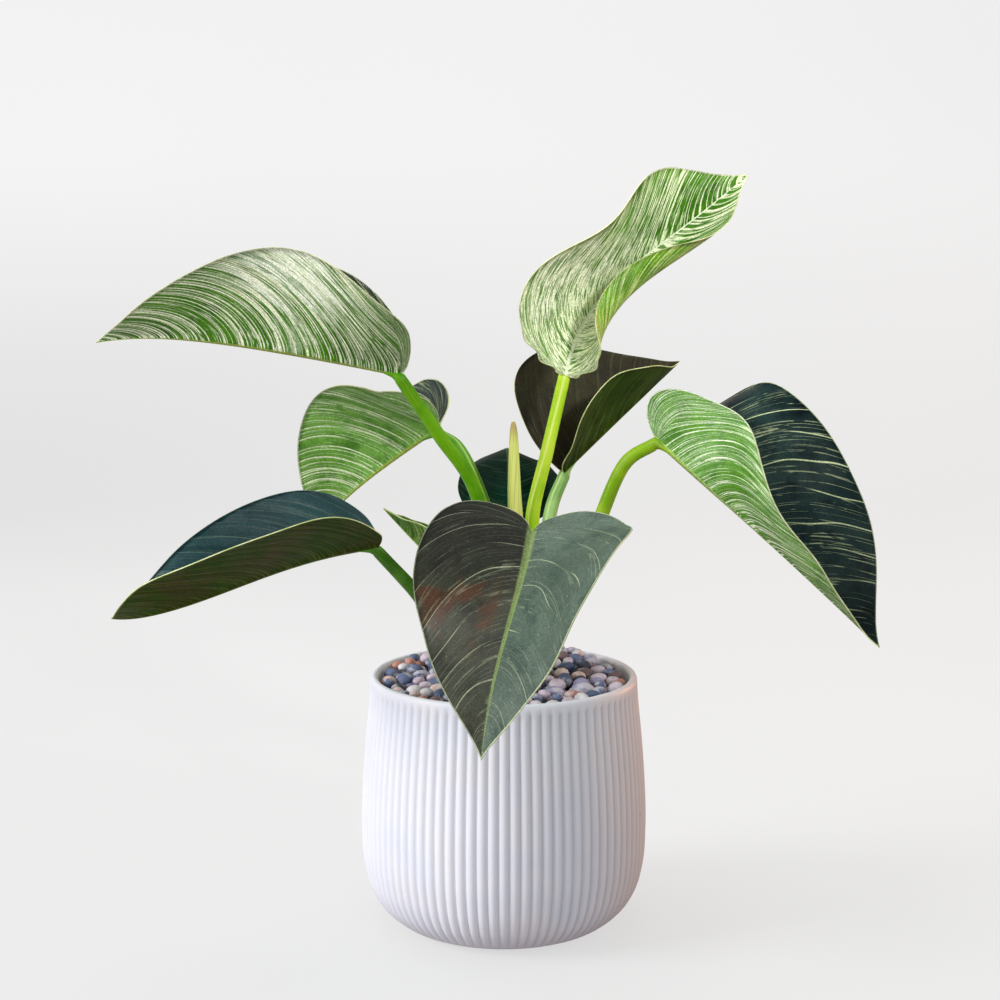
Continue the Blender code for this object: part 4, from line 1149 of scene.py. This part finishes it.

# %% [markdown]
# ## Floor
#
# The floor runs back and curls up into a pale wall, so no horizon shows. It has a painted
# glow: one that the camera sees, nearly even but a little brighter up the wall and to the
# right, and a darker, warmer one, brown toward the right, that lights the planter from below.

# %% Floor
floor_skin, net = new_material("studio_paper", 0.9)
net.shader["Emission Strength"].default_value = 1
net.finish(net.paint((120, 120, 120), (net.ramp(net.noise(net.here(), 0.8), 0.35, 0.65), (117, 117, 117))))
to_right, _, height = net.split(net.here())
bounce = net.paint((150, 140, 142), (net.ramp(to_right, -0.15, 0.2), (88, 60, 48)))
glow = net.paint((195, 195, 195), (net.ramp(to_right, -0.8, 0.4), (206, 207, 207)),
                 (net.ramp(height, 0, 0.5), (217, 217, 217)))
seen = net.add("ShaderNodeLightPath", output="Is Camera Ray")
net.put(net.shader["Emission Color"], net.paint(bounce, (seen, glow)))

run, across = np.linspace(-2.5, 5.0, 60)[:, None], np.linspace(-4, 4, 30)
rise = np.where(run > 1.5, (run - 1.5) ** 2 * 0.45, 0.0)
body = np.stack(np.broadcast_arrays(across, run, rise), -1)
ids = np.arange(body.size // 3).reshape(body.shape[:2])
floor = make_piece("floor", body.reshape(-1, 3), [grid_quads(ids)], [floor_skin])
floor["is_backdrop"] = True
print("floor", float(across[-1] - across[0]), "m wide, wall", round(float(rise.max()), 1), "m high")

# %% [markdown]
# ## Light
#
# Soft white light comes from everywhere. A large key lamp at the upper left brightens the
# left of the planter and the cream leaves, and a small one above opens the shadows. Behind
# on the right a weak warm lamp grazes the planter, a weak cool one lights its front, and a
# narrow spot picks out the highest leaf. The camera sees a brighter sky than the plant
# does, so the backdrop stays pale from every side.

# %% Lights
SKY_LIGHT, SKY_SEEN_MORE = 0.64, 0.24
world = bpy.data.worlds.new("studio")
world.use_nodes = True
sky = world.node_tree.nodes["Background"].inputs
sky["Color"].default_value = (1.0, 1.0, 1.0, 1.0)
net = Net(world.node_tree)
seen = net.add("ShaderNodeLightPath", output="Is Camera Ray")
net.put(sky["Strength"], net.maths("MULTIPLY_ADD", seen, SKY_SEEN_MORE, SKY_LIGHT))
bpy.context.scene.world = world


def lamp(name, place, target, power, colour, kind="AREA", **settings):
    """Lamp at a place, turned to face a target; settings are the light's own size or cone."""
    data = bpy.data.lights.new(name, kind)
    data.energy = power
    data.color = colour
    for key, value in settings.items():
        setattr(data, key, value)
    obj = bpy.data.objects.new(name, data)
    x, y, z = np.array(target, float) - np.array(place, float)
    obj.location = place
    obj.rotation_euler = (math.atan2(math.hypot(x, y), -z), 0, math.atan2(x, -y) + math.pi)
    bpy.context.scene.collection.objects.link(obj)


lamp("key", (-3.2, -1.0, 1.7), (0.0, 0.0, 0.15), 119.0, (1.0, 0.985, 0.99), size=1.7)
lamp("top", (-0.3, 0.2, 1.8), (0.0, 0.0, 0.2), 10.0, (1.0, 1.0, 1.0), size=1.0)
lamp("warm", (1.9, 1.3, 0.4), (0.0, 0.0, 0.07), 15.0, (1.0, 0.42, 0.22), size=0.6)
lamp("cool", (0.9, -2.0, 0.6), (0.0, 0.0, 0.12), 4.5, (0.90, 0.95, 1.0), size=0.8)
lamp("spot", (0.95, -1.35, 1.15), (0.075, 0.03, 0.385), 105.0, (1.0, 1.0, 0.97), "SPOT",
     spot_size=13 * DEG, spot_blend=1.0, shadow_soft_size=0.12)

# %% Finish
visual_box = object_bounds()
sizes = {"cad": [[float(c) for c in corner] for corner in cad_box],
         "visual": [[float(c) for c in corner] for corner in visual_box]}
print("visual box:", [[round(c, 4) for c in corner] for corner in sizes["visual"]])
